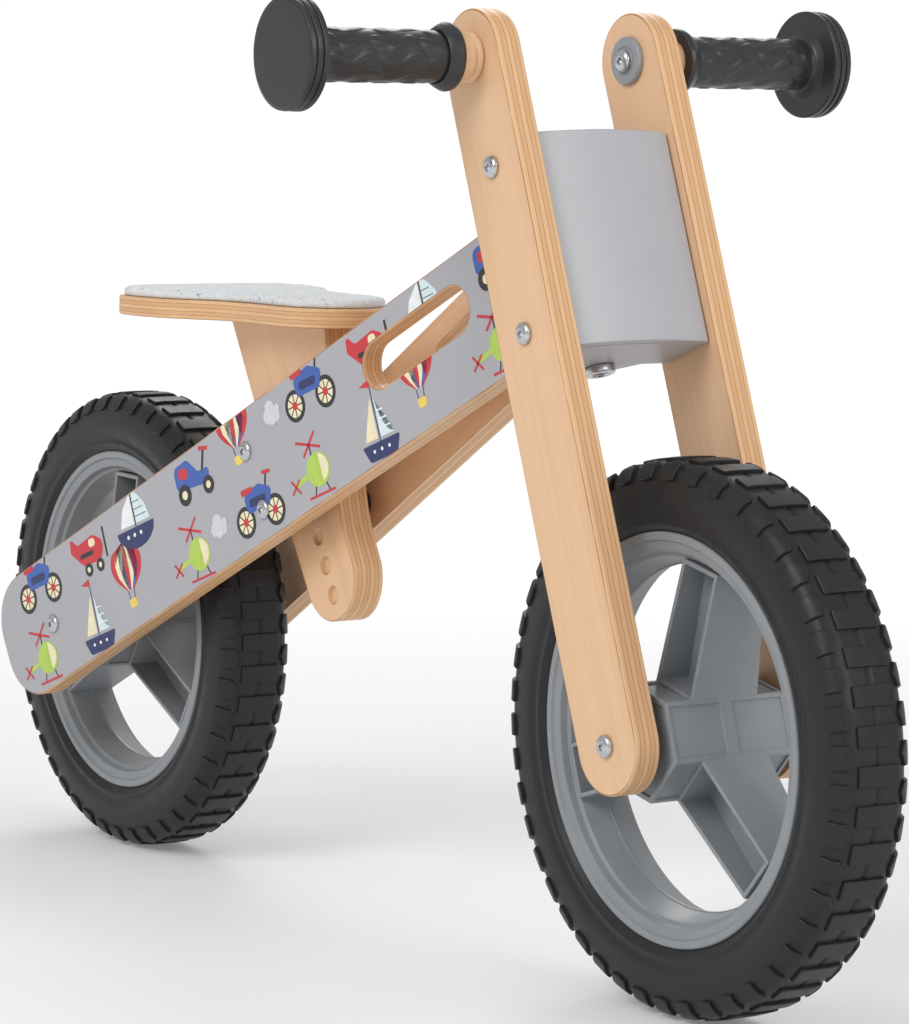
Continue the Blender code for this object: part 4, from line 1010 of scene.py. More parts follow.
class BIKE_OT_seat_post(bpy.types.Operator):
    """Thick plywood blade with a row of height holes"""

    bl_idname = "bike.seat_post"
    bl_label = "Seat post"

    def execute(self, context):
        angle = math.pi / 2 + SEAT_HOLE_LEAN
        place = Matrix.Translation((LOWEST_HOLE.x, 0, LOWEST_HOLE.y)) @ Matrix.Rotation(-angle, 4, "Y")
        half = box_size("seat_post").y / 2
        outline = turn_into(post_outline(), LOWEST_HOLE, angle)
        post = put("plywood_seat_post", slab("post", outline, -half, half), place,
                   ["post_edge", "birch_face", "birch_face"])
        radius, depth, beyond = 0.0050, 0.0026, 0.03
        for index in range(SEAT_HOLE_COUNT):
            for side in SIDES.values():
                floor = side * (half - depth)
                hole = turned("hole", [(0, floor), (radius, floor), (radius, side * beyond),
                                       (0, side * beyond)], 32)
                cut(post, put("hole_cutter", hole, place @ Matrix.Translation((index * SEAT_HOLE_PITCH, 0,
                                                                               0)),
                              ["birch_face"]))
        soften(post, 0.0010)
        attach(post, "frame", ["seat_post"])
        return {"FINISHED"}


def saddle_outline(inset=0.0, steps=22):
    """Saddle shape from above: a wide rear that narrows to a round nose."""
    span, rear_half, nose_half, corner = 0.1980, 0.0645, 0.0345, 0.0300
    waist, softness = 0.0830, 0.0115
    nose_start = span - nose_half
    upper = []
    for i in range(steps + 1):
        x = corner + (nose_start - corner) * i / steps
        fade = 1 / (1 + math.exp((x - waist) / softness))
        upper.append((x, nose_half + (rear_half - nose_half) * fade - inset))
    rear = arc(corner, upper[0][1] - corner + inset, corner - inset, math.pi, math.pi / 2, 10)[:-1]
    nose = arc(nose_start, 0, nose_half - inset, math.pi / 2, 0, 16)[1:]
    top = rear + upper + nose
    return top + [(x, -y) for x, y in reversed(top[:-1])]


def saddle_place(rise=0.0):
    """Place on the saddle: x forward along it, y up through it."""
    base = Matrix.Translation((SEAT_REAR_X, 0, seat_under(SEAT_REAR_X)))
    return base @ Matrix.Rotation(SEAT_TILT, 4, "Y") @ Matrix.Rotation(math.pi / 2, 4,
                                                                       "X") @ Matrix.Translation(
        (0, rise, 0))


class BIKE_OT_saddle_board(bpy.types.Operator):
    """Plywood saddle board"""

    bl_idname = "bike.saddle_board"
    bl_label = "Saddle board"

    def execute(self, context):
        board = put("saddle_plywood", slab("saddle", saddle_outline(), 0.0, 0.0115), saddle_place(),
                    ["seat_edge", "birch_face", "birch_face"])
        soften(board, 0.0011)
        attach(board, "frame", ["seat_board"])
        return {"FINISHED"}


class BIKE_OT_felt_pad(bpy.types.Operator):
    """Pressed felt pad on the saddle, with a soft rolled edge and a slightly crowned, matted top"""

    bl_idname = "bike.felt_pad"
    bl_label = "Felt pad"

    def execute(self, context):
        thickness, crown, base, inset_all, top = 0.0050, 0.0007, 0.0118, 0.0030, 0.0052
        # From the bottom edge inwards: how far in from the outline, and how high.
        rim = [(0.0006, 0.0), (0.0, 0.0012), (0.0, 0.0028), (0.0005, 0.0040), (0.0015, 0.0048),
               (0.0030, top)]
        bm = bmesh.new()
        rings = []
        for inset, height in rim:
            rings.append([bm.verts.new((x, height, -y)) for x, y in saddle_outline(inset_all + inset)])
        centre = Vector((0.085, 0.0))
        outer = saddle_outline(inset_all + rim[-1][0])
        steps = 20
        for step in range(1, steps):
            share = step / steps
            rings.append([bm.verts.new((x + (centre.x - x) * share,
                                        top + crown * math.sin(share * math.pi / 2),
                                        -y * (1 - share))) for x, y in outer])
        for ring, follow in zip(rings, rings[1:]):
            for i in range(len(ring)):
                j = (i + 1) % len(ring)
                bm.faces.new((ring[i], ring[j], follow[j], follow[i]))
        bm.faces.new(rings[0])
        bmesh.ops.triangle_fill(bm, use_beauty=True, edges=[e for e in bm.edges if e.is_boundary])
        bmesh.ops.subdivide_edges(bm, edges=[e for e in bm.edges if e.calc_length() > 0.004], cuts=1,
                                  use_grid_fill=True)
        for vertex in bm.verts:
            if vertex.co.y > 0.0010:
                spot = vertex.co * 420
                vertex.co.y += 0.00022 * noise.noise(spot) + 0.00030 * noise.noise(vertex.co * 90)
                vertex.co.x += 0.00018 * noise.noise(spot + Vector((9, 0, 0)))
                vertex.co.z += 0.00018 * noise.noise(spot + Vector((0, 9, 0)))
                vertex.co.y = min(vertex.co.y, thickness + 0.0012)
        pad = put("felt_saddle_pad", mesh_from(bm, "felt_pad", 0), saddle_place(base), ["felt"])
        attach(pad, "frame", ["seat_pad"])
        return {"FINISHED"}


# ---------------------------------------------------------------- wheels
WHEELS = {"front": (FRONT_AXLE, math.radians(78.0)), "rear": (REAR_AXLE, math.radians(88.0))}
CROWN = ((0.0, 0.1432), (0.0080, 0.1431), (0.0140, 0.1424), (0.0190, 0.1398), (0.0218, 0.1352),
         (0.0231, 0.1290),
         (0.0236, 0.1210), (0.0226, 0.1152), (0.0231, 0.1117), (0.0208, 0.1083))


def crown_path():
    """Half of the tyre's section from the tread's middle to the rim: (distance, y, radius, normal)."""
    points = spline(CROWN, 10)
    path, distance = [], 0.0
    for i, (y, radius) in enumerate(points):
        if i:
            distance += math.dist(points[i - 1], points[i])
        before, after = points[max(0, i - 1)], points[min(len(points) - 1, i + 1)]
        run = Vector((after[0] - before[0], after[1] - before[1])).normalized()
        path.append((distance, y, radius, Vector((-run.y, run.x)) if i else Vector((0.0, 1.0))))
    return path


def on_crown(path, distance):
    """Side distance, radius and outward direction at a distance from the tread's middle."""
    reach = abs(distance)
    sign = 1 if distance >= 0 else -1
    for first, last in zip(path, path[1:]):
        if reach <= last[0]:
            share = (reach - first[0]) / (last[0] - first[0])
            y = first[1] + (last[1] - first[1]) * share
            radius = first[2] + (last[2] - first[2]) * share
            way = first[3].lerp(last[3], share).normalized()
            return sign * y, radius, sign * way.x, way.y
    y, radius, way = path[-1][1:]
    return sign * y, radius, sign * way.x, way.y


def tread_block(bm, path, turn, inner, outer, half_length, height, columns, rows):
    """A raised block that follows the tyre; inner(v) and outer(v) are its ends, for v from -1 to 1."""
    chamfer, skirt, sunk = 0.0006, 0.00015, -0.0004

    def steps_between(low, high, count):
        span = [low + chamfer + (high - low - 2 * chamfer) * k / count for k in range(count + 1)]
        return [low, low + skirt] + span + [high - skirt, high]

    grid = []
    arounds = steps_between(-half_length, half_length, rows)
    for i, around in enumerate(arounds):
        row = []
        share = around / half_length
        alongs = steps_between(inner(share), outer(share), columns)
        for j, along in enumerate(alongs):
            ring = min(i, len(arounds) - 1 - i, j, len(alongs) - 1 - j)
            lift = (sunk, height - 0.0004)[ring] if ring < 2 else height
            y, radius, way_y, way_r = on_crown(path, along)
            angle = turn + around / TYRE_RADIUS
            reach = radius + way_r * lift
            row.append(bm.verts.new((reach * math.cos(angle), y + way_y * lift, reach * math.sin(angle))))
        grid.append(row)
    for row, follow in zip(grid, grid[1:]):
        for j in range(len(row) - 1):
            bm.faces.new((row[j], row[j + 1], follow[j + 1], follow[j]))
    edge = [row[0] for row in grid] + grid[-1][1:-1] + [row[-1] for row in reversed(grid)] + grid[0][-2:0:-1]
    bm.faces.new(edge)


class BIKE_OT_tyres(bpy.types.Operator):
    """Solid foam tyres with a row of centre blocks and two staggered rows of shoulder blocks"""

    bl_idname = "bike.tyres"
    bl_label = "Tyres"

    def execute(self, context):
        sizes = context.scene.bike_wheels
        path = crown_path()
        groove = 0.0009
        half = [(radius - groove * math.exp(-(y / 0.0011) ** 2), y) for _, y, radius, _ in path]
        bead = [(0.1075, 0.0200), (0.1013, 0.0176)]
        profile = half + bead + [(radius, -y) for radius, y in reversed(half[1:] + bead)]
        pitch = 2 * math.pi / sizes.tread_pitches
        for which, (axle, _) in WHEELS.items():
            bm = bmesh.new()
            carcass = turned("carcass", profile, 4 * sizes.tread_pitches)
            bm.from_mesh(carcass)
            for k in range(sizes.tread_pitches):
                tread_block(bm, path, k * pitch, lambda v: -0.0125, lambda v: 0.0125,
                            sizes.block_length / 2,
                            sizes.block_height - 0.0001, 10, 3)
                for side in (-1, 1):
                    def tip(v, side=side):
                        return side * (0.0142 + 0.0026 * abs(v))
                    def foot(v, side=side):
                        return side * (0.0275 - 0.0012 * abs(v))
                    low, high = (tip, foot) if side == 1 else (foot, tip)
                    tread_block(bm, path, (k + 0.5) * pitch, low, high, 0.0064, sizes.block_height, 6, 4)
            tyre = put(f"{which}_tyre_tread", mesh_from(bm, "tyre", 28), Matrix.Translation(axle),
                       ["tyre_foam"])
            attach(tyre, f"{which}_wheel", [f"{which}_tyre"])
        return {"FINISHED"}


def frustum(root, tip, half_root, half_tip, depth_root, depth_tip):
    """A spoke along x, deeper and wider at its root; gives the bmesh and its two open sides' faces."""
    bm = bmesh.new()
    ends = []
    for x, half, depth in ((root, half_root, depth_root), (tip, half_tip, depth_tip)):
        ends.append([bm.verts.new((x, y, z)) for y, z in
                     ((-depth, -half), (depth, -half), (depth, half), (-depth, half))])
    first, last = ends
    bm.faces.new(first)
    bm.faces.new(last)
    sides = []
    for i in range(4):
        j = (i + 1) % 4
        face = bm.faces.new((first[i], first[j], last[j], last[i]))
        if i in (1, 3):
            sides.append(face)
    bmesh.ops.recalc_face_normals(bm, faces=bm.faces)
    return bm, sides


def sink(bm, faces, wall, floor):
    """Sink a pocket into faces: a wall is left round it, and floor(vertex) moves its bottom."""
    for face in faces:
        bmesh.ops.inset_region(bm, faces=[face], thickness=wall, use_even_offset=True)
        made = bmesh.ops.extrude_discrete_faces(bm, faces=[face])["faces"][0]
        for vertex in made.verts:
            floor(vertex)


def spoke(sizes, root, tip, depth_root, depth_tip):
    """A boxed spoke with a deep pocket on each side of its middle web."""
    bm, sides = frustum(root, tip, sizes.spoke_half_width + 0.0006, sizes.spoke_half_width - 0.0006,
                        depth_root,
                        depth_tip)
    open_sides = [face for face in sides if abs(face.normal.y) > 0.5]

    def to_web(vertex):
        vertex.co.y = math.copysign(0.0014, vertex.co.y)

    sink(bm, open_sides, sizes.spoke_wall, to_web)
    return mesh_from(bm, "spoke", 30)


def hub(sizes, phase):
    """Six-sided hub with shallow panels on its flats, a seam round its middle and a rim round each end."""
    seam, panel_depth, end_depth = 0.0015, 0.0012, 0.0015
    bm = bmesh.new()
    levels = (-HUB_HALF_LENGTH, -seam, seam, HUB_HALF_LENGTH)
    corners = [(sizes.hub_radius * math.cos(a), sizes.hub_radius * math.sin(a))
               for a in (phase + math.pi / 6 + k * math.pi / 3 for k in range(6))]
    rings = [[bm.verts.new((x, y, z)) for x, z in corners] for y in levels]
    ends = [bm.faces.new(rings[0]), bm.faces.new(rings[-1])]
    flats = []
    for level, (ring, follow) in enumerate(zip(rings, rings[1:])):
        for i in range(6):
            j = (i + 1) % 6
            face = bm.faces.new((ring[i], ring[j], follow[j], follow[i]))
            if level != 1:
                flats.append(face)
    bmesh.ops.recalc_face_normals(bm, faces=bm.faces)

    def recessed(vertex):
        vertex.co.y -= math.copysign(end_depth, vertex.co.y)

    normals = {face: face.normal.copy() for face in flats}
    for face in flats:
        bmesh.ops.inset_region(bm, faces=[face], thickness=0.0024, use_even_offset=True)
        made = bmesh.ops.extrude_discrete_faces(bm, faces=[face])["faces"][0]
        for vertex in made.verts:
            vertex.co -= normals[face] * panel_depth
    sink(bm, ends, 0.0030, recessed)
    return mesh_from(bm, "hub", 30)


class BIKE_OT_rims(bpy.types.Operator):
    """Moulded rims: a stepped barrel with flanges, three boxed spokes and a six-sided hub"""

    bl_idname = "bike.rims"
    bl_label = "Rims"

    def execute(self, context):
        sizes = context.scene.bike_wheels
        flange, seat, bore, width = 0.1072, 0.1010, 0.0900, 0.0212
        half = [(seat, width - 0.0030, 0), (flange, width - 0.0030, 0.0004), (flange, width, 0.0012),
                (flange - 0.0042, width, 0.0006), (flange - 0.0052, width - 0.0014, 0.0004),
                (0.0975, width - 0.0024, 0.0008), (0.0962, 0.0152, 0.0004), (0.0944, 0.0140, 0.0006),
                (bore + 0.0004, 0.0011, 0.0002), (bore - 0.0002, 0.0009, 0.0002)]
        profile = rounded(half + [(radius, -y, rounding) for radius, y, rounding in reversed(half)], 3)
        flat = sizes.hub_radius * math.cos(math.pi / 6)
        for which, (axle, phase) in WHEELS.items():
            parts = [(turned("barrel", profile, 144), Matrix()), (hub(sizes, phase), Matrix())]
            arm = spoke(sizes, flat - 0.0012, bore + 0.0030, HUB_HALF_LENGTH - 0.0170, 0.74 * width)
            for k in range(3):
                parts.append((arm, Matrix.Rotation(-phase - 2 * math.pi * k / 3, 4, "Y")))
            tube = [(0.0113, HUB_HALF_LENGTH - 0.0078), (0.0113, HUB_HALF_LENGTH),
                    (0.0143, HUB_HALF_LENGTH),
                    (0.0143, 0.0050), (0.0043, 0.0050), (0.0043, HUB_HALF_LENGTH - 0.0078)]
            for side in SIDES.values():
                parts.append((turned("bearing_seat", [(radius, side * y) for radius, y in tube], 48),
                              Matrix()))
            rim = put(f"{which}_moulded_rim", join_meshes("rim", parts), Matrix.Translation(axle),
                      ["rim_plastic"])
            soften(rim, 0.0005, 2, 0, 50)
            attach(rim, f"{which}_wheel", [f"{which}_rim"])
        return {"FINISHED"}


# ---------------------------------------------------------------- fork
class BIKE_OT_fork_legs(bpy.types.Operator):
    """Two plywood legs with round ends"""

    bl_idname = "bike.fork_legs"
    bl_label = "Fork legs"

    def execute(self, context):
        sizes = context.scene.bike_boards
        # x runs up the leg, and z to the rear
        place = FORK_PLACE @ Matrix.Translation((KINGPIN_SETBACK, 0, 0)) @ Matrix.Rotation(-math.pi / 2, 4,
                                                                                           "Y")
        outline = (arc(LEG_LENGTH, 0, LEG_HALF_WIDTH, -math.pi / 2, math.pi / 2, 40)
                   + arc(0, 0, LEG_HALF_WIDTH, math.pi / 2, 3 * math.pi / 2, 40))
        thickness = LEG_OUTER - LEG_INNER
        for label, side in SIDES.items():
            inner = place @ Matrix.Translation((0, side * LEG_INNER - (thickness if side < 0 else 0), 0))
            leg = put(f"{label}_plywood_leg", slab("leg", outline, 0.0, thickness), inner,
                      ["leg_edge", "birch_face", "birch_face"])
            soften(leg, sizes.leg_round, 4)
            attach(leg, "fork", [f"fork_leg_{label}"])
        return {"FINISHED"}


def bow(depth, half_length, steps=28):
    """Points across the bowed front of the fork's head, set back from its face by depth."""
    sides, rise = LEG_INNER - GAP, 0.0055
    radius = (sides ** 2 + rise ** 2) / (2 * rise)
    centre = KINGPIN_SETBACK + 0.0195 + rise - radius
    inner = radius - depth
    angle = math.asin(half_length / inner)
    return arc(centre, 0, inner, -angle, angle, steps)


def upright(name, outline, low, high):
    """A block on an outline in x and y that rises along z."""
    bm = bmesh.new()
    bottom = [bm.verts.new((x, y, low)) for x, y in outline]
    top = [bm.verts.new((x, y, high)) for x, y in outline]
    bm.faces.new(bottom)
    bm.faces.new(top)
    for i in range(len(outline)):
        j = (i + 1) % len(outline)
        bm.faces.new((bottom[i], bottom[j], top[j], top[i]))
    return mesh_from(bm, name, 0)


class BIKE_OT_fork_head(bpy.types.Operator):
    """Painted crosspieces between the legs and the bowed plate in front of them"""

    bl_idname = "bike.fork_head"
    bl_label = "Fork head"

    def execute(self, context):
        half, rear, tongue, shoulder = LEG_INNER - 2 * GAP, KINGPIN_SETBACK - 0.0195, 0.0145, 0.0260
        touch = math.acos(tongue / math.hypot(rear, shoulder))
        aim = math.atan2(shoulder, rear)
        back = arc(0, 0, tongue, aim + touch, 2 * math.pi - aim - touch, 28)
        outline = bow(0.0053, half) + [(rear, half), (rear, shoulder)] + back + [(rear, -shoulder),
                                                                                 (rear, -half)]
        for label, low in (("lower", CROSSPIECE_BOTTOM), ("upper", CROSSPIECE_TOP - CROSSPIECE_HEIGHT)):
            block = put(f"{label}_painted_crosspiece", upright("crosspiece", outline, low,
                                                               low + CROSSPIECE_HEIGHT),
                        FORK_PLACE, ["head_paint"])
            soften(block, 0.0011)
            attach(block, "fork", [f"{label}_crosspiece"])
        plate = upright("plate", bow(0.0, half) + bow(0.0050, half)[::-1], CROSSPIECE_BOTTOM,
                        CROSSPIECE_TOP)
        item = put("bowed_front_plate", plate, FORK_PLACE, ["head_paint"])
        soften(item, 0.0013)
        attach(item, "fork", ["front_plate"])
        return {"FINISHED"}


# ---------------------------------------------------------------- handles
def handle_place(side):
    """Place on a handle: x runs out from the middle plane along it."""
    spot = FORK_PLACE @ Matrix.Translation((KINGPIN_SETBACK, 0, LEG_LENGTH))
    return spot @ Matrix.Rotation(side * math.pi / 2, 4, "Z")


class BIKE_OT_handle_dowels(bpy.types.Operator):
    """Birch dowels with a rounded foot ring against the legs"""

    bl_idname = "bike.handle_dowels"
    bl_label = "Handle dowels"

    def execute(self, context):
        foot, end = LEG_OUTER + GAP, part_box("handle_dowel_left")[1].y
        corners = [(0.0, foot, 0), (0.0135, foot, 0.0010), (0.0135, foot + 0.0034, 0.0014),
                   (0.0115, foot + 0.0044, 0.0010), (0.0115, end, 0.0005), (0.0, end, 0)]
        for label, side in SIDES.items():
            dowel = put(f"{label}_birch_dowel", turned("dowel", rounded(corners, 6), 64, "x"),
                        handle_place(side),
                        ["birch_face"])
            attach(dowel, "fork", [f"handle_dowel_{label}"])
        return {"FINISHED"}


class BIKE_OT_grips(bpy.types.Operator):
    """Rubber grips with a moulded wavy pattern, a flared collar and a ridged guard at the end"""

    bl_idname = "bike.grips"
    bl_label = "Grips"

    def execute(self, context):
        sizes = context.scene.bike_grips
        start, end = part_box("grip_left")[0].y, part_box("grip_left")[1].y
        bore, body = 0.0118, sizes.radius
        disc = end - sizes.disc_width
        flare, fillet = start + 0.0105, disc - 0.0045
        outer = [(bore, start, 0), (0.0176, start, 0.0010), (0.0182, start + 0.0026, 0.0008)]
        profile = rounded(outer + [(0.0170, start + 0.0052, 0.0030), (body, flare, 0.0060)], 5)
        count = 84
        profile += [(body, flare + 0.0015 + (fillet - flare - 0.003) * k / count) for k in range(count + 1)]
        guard, depth = sizes.disc_radius, 0.0011
        ridge = sizes.disc_width / 3
        rim = [(body, fillet + 0.002, 0.003), (body + 0.0055, disc, 0.003), (guard - 0.0012, disc, 0.0012)]
        for k in range(3):
            near, far = disc + k * ridge, disc + (k + 1) * ridge
            rim += [(guard, near + 0.0006, 0.0006), (guard - 0.0002 * k, far - 0.0006, 0.0006)]
            if k < 2:
                rim += [(guard - depth, far - 0.0001, 0.0002), (guard - depth, far + 0.0003, 0.0002)]
        rim += [(guard - 0.0022, end - 0.0001, 0.0020), (0.0200, end, 0.004), (0.0, end, 0)]
        inner_end = end - 0.0040
        back = rounded(rim + [(0.0, inner_end, 0), (bore, inner_end, 0), (bore, start, 0)], 5)
        profile += back[:-1]

        def pattern(turn, along, radius):
            if not flare + 0.002 < along < fillet - 0.001 or abs(radius - body) > 1e-5:
                return 0.0
            fade = min(1.0, (along - flare - 0.002) / 0.004, (fillet - 0.001 - along) / 0.004)
            wave = math.sin(9 * turn + 1.5 * math.sin(2 * math.pi * along / 0.027))
            leaf = math.sin(2 * math.pi * along / 0.0155 + 4 * turn + 0.8 * math.sin(2 * turn))
            mark = max(0.0, 0.62 * wave + 0.48 * leaf)
            return sizes.pattern_height * fade * min(1.0, 1.7 * mark)

        for label, side in SIDES.items():
            grip = put(f"{label}_rubber_grip", turned("grip", profile, 144, "x", pattern, 50),
                       handle_place(side),
                       ["grip_rubber"])
            attach(grip, "fork", [f"grip_{label}"])
        return {"FINISHED"}


class BIKE_OT_handle_caps(bpy.types.Operator):
    """Round plastic caps inside the legs, with a ring groove round the screw's socket"""

    bl_idname = "bike.handle_caps"
    bl_label = "Handle caps"

    def execute(self, context):
        outer = LEG_INNER - GAP
        inner = outer - 0.0030
        corners = [(0.0034, outer, 0), (0.0130, outer, 0), (0.0130, inner, 0.0012), (0.0080, inner, 0.0004),
                   (0.0074, inner + 0.0007, 0.0003), (0.0064, inner + 0.0007, 0.0003),
                   (0.0058, inner, 0.0004),
                   (0.0034, inner, 0.0003)]
        for label, side in SIDES.items():
            cap = put(f"{label}_leg_cap", turned("cap", rounded(corners, 5), 72, "x"), handle_place(side),
                      ["cap_plastic"])
            attach(cap, "fork", [f"handle_cap_{label}"])
        return {"FINISHED"}


# ---------------------------------------------------------------- fasteners and inner pieces
SOCKET_RADIUS = 0.0022
HEAD_RADIUS = 0.0060
HEAD_RISE = 0.0033
THREAD_RADIUS = 0.0030
AXLE_RADIUS = 0.0040


def six_sided(turn, along, radius):
    """Change a circle of the socket's radius into a hexagon of that size across its corners."""
    if abs(radius - SOCKET_RADIUS) > 1e-7:
        return 0.0
    within = turn % (math.pi / 3) - math.pi / 6
    return radius * (math.cos(math.pi / 6) / math.cos(within) - 1)


def button_profile(base, top, tip, head, shank):
    """Domed head from base to top, hollowed for a key, on a shank that ends at tip."""
    rise = top - base
    dome = [(head * math.cos(a), base + 0.30 * rise + 0.70 * rise * math.sin(a) / math.sin(1.1))
            for a in (1.1 * k / 8 for k in range(9))]
    return ([(0.0, tip), (shank - math.copysign(0.0004, shank), tip),
             (shank, tip + math.copysign(0.0004, rise)),
             (shank, base), (head * 0.97, base), (head, base + 0.08 * rise)] + dome
            + [(SOCKET_RADIUS + 0.0004, top), (SOCKET_RADIUS, top - 0.05 * rise),
               (SOCKET_RADIUS, base + 0.4 * rise),
               (0.0, base + 0.32 * rise)])


def dome_profile(base, top, head):
    rise = top - base
    return [(0.0, base), (head * 0.97, base), (head, base + 0.08 * rise)] + [
        (head * math.cos(a), base + 0.35 * rise + 0.65 * rise * math.sin(a))
        for a in (math.pi / 2 * k / 10 for k in range(10))] + [(0.0, top)]


class BIKE_OT_fasteners(bpy.types.Operator):
    """Button-head bolts, domed nuts, axle bolts, handle screws and the steering pin"""

    bl_idname = "bike.fasteners"
    bl_label = "Bolts and nuts"

    def execute(self, context):
        bolts = [("head_bolt_lower", "frame"), ("head_bolt_upper", "frame"),
                 ("seat_post_bolt_lower", "frame"),
                 ("seat_post_bolt_upper", "frame"), ("rear_axle_bolt", "frame"),
                 ("front_axle_bolt", "fork")]
        for node, body in bolts:
            low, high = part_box(node)
            shank = AXLE_RADIUS if "axle" in node else THREAD_RADIUS
            self.turned_piece(node, body, button_profile(low.y + HEAD_RISE, low.y, high.y, HEAD_RADIUS,
                                                         shank))
        for node, body in [("head_nut_lower", "frame"), ("head_nut_upper", "frame"),
                           ("rear_axle_nut", "frame"),
                           ("seat_post_nut_lower", "frame"), ("seat_post_nut_upper", "frame"),
                           ("front_axle_nut", "fork")]:
            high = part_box(node)[1]
            self.turned_piece(node, body, dome_profile(high.y - HEAD_RISE, high.y, HEAD_RADIUS))
        for label, side in SIDES.items():
            for level in ("lower", "upper"):
                node = f"leg_bolt_{level}_{label}"
                near, far = sorted((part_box(node)[0].y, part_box(node)[1].y), key=lambda y: y * side)
                self.turned_piece(node, "fork", button_profile(far - side * HEAD_RISE, far, near,
                                                               HEAD_RADIUS,
                                                               THREAD_RADIUS))
            node = f"handle_screw_{label}"
            near, far = sorted((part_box(node)[0].y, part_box(node)[1].y), key=lambda y: y * side)
            self.turned_piece(node, "fork", button_profile(near + side * HEAD_RISE, near, far, HEAD_RADIUS,
                                                           THREAD_RADIUS))
        self.steering_pin()
        return {"FINISHED"}

    def turned_piece(self, node, body, profile):
        centre = box_centre(node)
        item = put(f"{node}_steel", turned("fastener", profile, 48, "y", six_sided, 35),
                   Matrix.Translation((centre.x, 0, centre.z)), ["steel"])
        attach(item, body, [node])

    def steering_pin(self):
        face = CROSSPIECE_TOP + GAP
        foot = CROSSPIECE_BOTTOM - GAP
        pin = button_profile(face, face + 0.0040, foot - 0.0028, 0.0085, 0.0040)
        item = put("steering_pin", turned("pin", pin, 56, "z", six_sided, 35), FORK_PLACE, ["steel"])
        attach(item, "fork", ["kingpin"])
        low = foot - 0.0040
        nut = rounded([(0.0043, foot, 0), (0.0085, foot, 0.0004), (0.0085, low, 0.0012),
                       (0.0050, low, 0.0004),
                       (0.0043, low + 0.0010, 0.0003)], 4)
        item = put("steering_pin_nut", turned("nut", nut, 56, "z"), FORK_PLACE, ["steel"])
        attach(item, "fork", ["kingpin_nut"])


class BIKE_OT_inner_pieces(bpy.types.Operator):
    """Finishes for what keeps its own shape: head block, bushes, spacers, bearings and wood screws"""

    bl_idname = "bike.inner_pieces"
    bl_label = "Inner pieces"

    def execute(self, context):
        finishes = {"head_block": "birch_face", "head_bush": "bush_plastic", "spacer": "bush_plastic",
                    "bearing": "steel", "seat_screw": "steel"}
        for name, node in frame["nodes"].items():
            for part, finish in finishes.items():
                if part in name and not node.hide_render:
                    node.data.materials.clear()
                    node.data.materials.append(material_named(finish))
        bare = [name for name, node in frame["nodes"].items()
                if not node.hide_render and not any(part in name for part in finishes)]
        if bare:
            raise RuntimeError(f"no finish for {bare}")
        return {"FINISHED"}


# ---------------------------------------------------------------- stage
WORLD_LIGHT = 0.55
BACKDROP_WHITE = 1.02


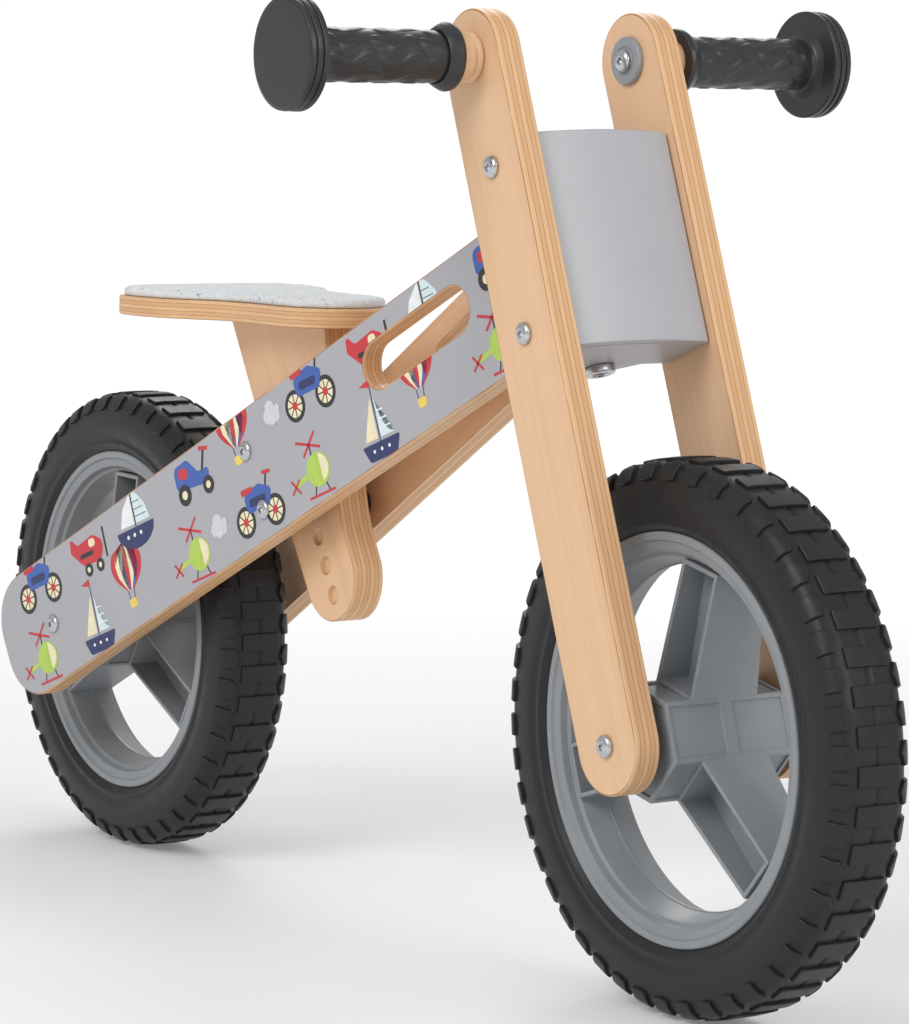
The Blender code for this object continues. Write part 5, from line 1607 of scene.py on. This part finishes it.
class BIKE_OT_stage(bpy.types.Operator):
    """Camera, pale floor and soft studio light"""

    bl_idname = "bike.stage"
    bl_label = "Stage"

    def execute(self, context):
        self.camera(context)
        self.floor()
        self.lights(context)
        return {"FINISHED"}

    def camera(self, context):
        data = bpy.data.cameras.new("camera")
        data.lens, data.sensor_width = 136.02, 36.0
        data.clip_start, data.clip_end = 0.05, 60.0
        item = bpy.data.objects.new("camera", data)
        context.scene.collection.objects.link(item)
        target = Vector((0.0633, 0.0, 0.2423))
        azimuth, elevation, roll = (math.radians(angle) for angle in (56.34, 5.46, 0.423))
        distance = 2.1715
        back = Vector((math.sin(azimuth) * math.cos(elevation), -math.cos(azimuth) * math.cos(elevation),
                       math.sin(elevation)))
        item.matrix_world = (Matrix.Translation(target + back * distance)
                             @ (-back).to_track_quat("-Z", "Y").to_matrix().to_4x4()
                             @ Matrix.Rotation(roll, 4, "Z"))
        context.scene.camera = item
        context.scene.view_settings.view_transform = "Standard"

    def floor(self):
        bm = bmesh.new()
        bmesh.ops.create_grid(bm, x_segments=4, y_segments=4, size=9.0)
        floor = put("studio_floor", mesh_from(bm, "floor", 0), Matrix.Translation((0, 0, -0.0004)))
        # The floor is lit near the bike and fades to plain white away from it.
        material, tree, shader, spot = new_material("studio_floor",
                                                    {"Roughness": 0.8, "Emission Strength": 1.0})
        away = add(tree, "VectorMath", {0: spot}, operation="LENGTH").outputs["Value"]
        fade = ease(tree, away, 0.5, 2.2, 0.16, 1.0)
        tree.links.new(blend_colour(tree, fade, (0, 0, 0), (1, 1, 1)), shader["Emission Color"])
        tree.links.new(blend_colour(tree, fade, (0.9, 0.9, 0.9), (0, 0, 0)), shader["Base Color"])
        floor.data.materials.append(material)

    def lights(self, context):
        target = Vector((0.0, 0.0, 0.22))
        for name, spot, size, power in (("key", (0.9, -2.6, 2.3), 1.8, 46.0),
                                        ("front", (3.2, 0.5, 1.7), 1.8, 30.0),
                                        ("back", (-2.2, 1.6, 2.4), 1.6, 26.0)):
            data = bpy.data.lights.new(name, "AREA")
            data.shape, data.size, data.energy = "DISK", size, power
            item = bpy.data.objects.new(name, data)
            context.scene.collection.objects.link(item)
            item.location = spot
            item.rotation_mode = "QUATERNION"
            item.rotation_quaternion = (target - Vector(spot)).to_track_quat("-Z", "Y")
        world = bpy.data.worlds.new("studio")
        context.scene.world = world
        world.use_nodes = True
        tree = world.node_tree
        background = tree.nodes["Background"].inputs
        background["Color"].default_value = (1.0, 1.0, 1.0, 1.0)
        seen = add(tree, "LightPath").outputs["Is Camera Ray"]
        tree.links.new(calc(tree, "MULTIPLY_ADD", seen, BACKDROP_WHITE - WORLD_LIGHT, WORLD_LIGHT),
                       background["Strength"])


# ---------------------------------------------------------------- add-on
OPERATORS = (BIKE_OT_stage, BIKE_OT_side_boards, BIKE_OT_board_prints, BIKE_OT_seat_post,
             BIKE_OT_saddle_board,
             BIKE_OT_felt_pad, BIKE_OT_tyres, BIKE_OT_rims, BIKE_OT_fork_legs, BIKE_OT_fork_head,
             BIKE_OT_handle_dowels, BIKE_OT_grips, BIKE_OT_handle_caps, BIKE_OT_fasteners,
             BIKE_OT_inner_pieces)
GROUPS_OF_SIZES = {"bike_boards": BoardSizes, "bike_wheels": WheelSizes, "bike_grips": GripSizes,
                   "bike_finishes": Finishes}


class BIKE_PT_panel(bpy.types.Panel):
    """Buttons that build the bike, piece by piece"""

    bl_idname = "BIKE_PT_panel"
    bl_label = "Balance bike"
    bl_space_type = "VIEW_3D"
    bl_region_type = "UI"
    bl_category = "Balance bike"

    def draw(self, context):
        for name in GROUPS_OF_SIZES:
            settings = getattr(context.scene, name)
            box = self.layout.box()
            for key in settings.bl_rna.properties.keys():
                if key not in ("rna_type", "name"):
                    box.prop(settings, key)
        for operator in OPERATORS:
            self.layout.operator(operator.bl_idname)


def register():
    for made in (*GROUPS_OF_SIZES.values(), *OPERATORS, BIKE_PT_panel):
        bpy.utils.register_class(made)
    for name, group in GROUPS_OF_SIZES.items():
        setattr(bpy.types.Scene, name, PointerProperty(type=group))


def unregister():
    for name in GROUPS_OF_SIZES:
        delattr(bpy.types.Scene, name)
    for made in (BIKE_PT_panel, *reversed(OPERATORS), *reversed(tuple(GROUPS_OF_SIZES.values()))):
        bpy.utils.unregister_class(made)


def main():
    register()
    for operator in OPERATORS:
        group, name = operator.bl_idname.split(".")
        getattr(getattr(bpy.ops, group), name)()


if __name__ == "__main__":
    main()
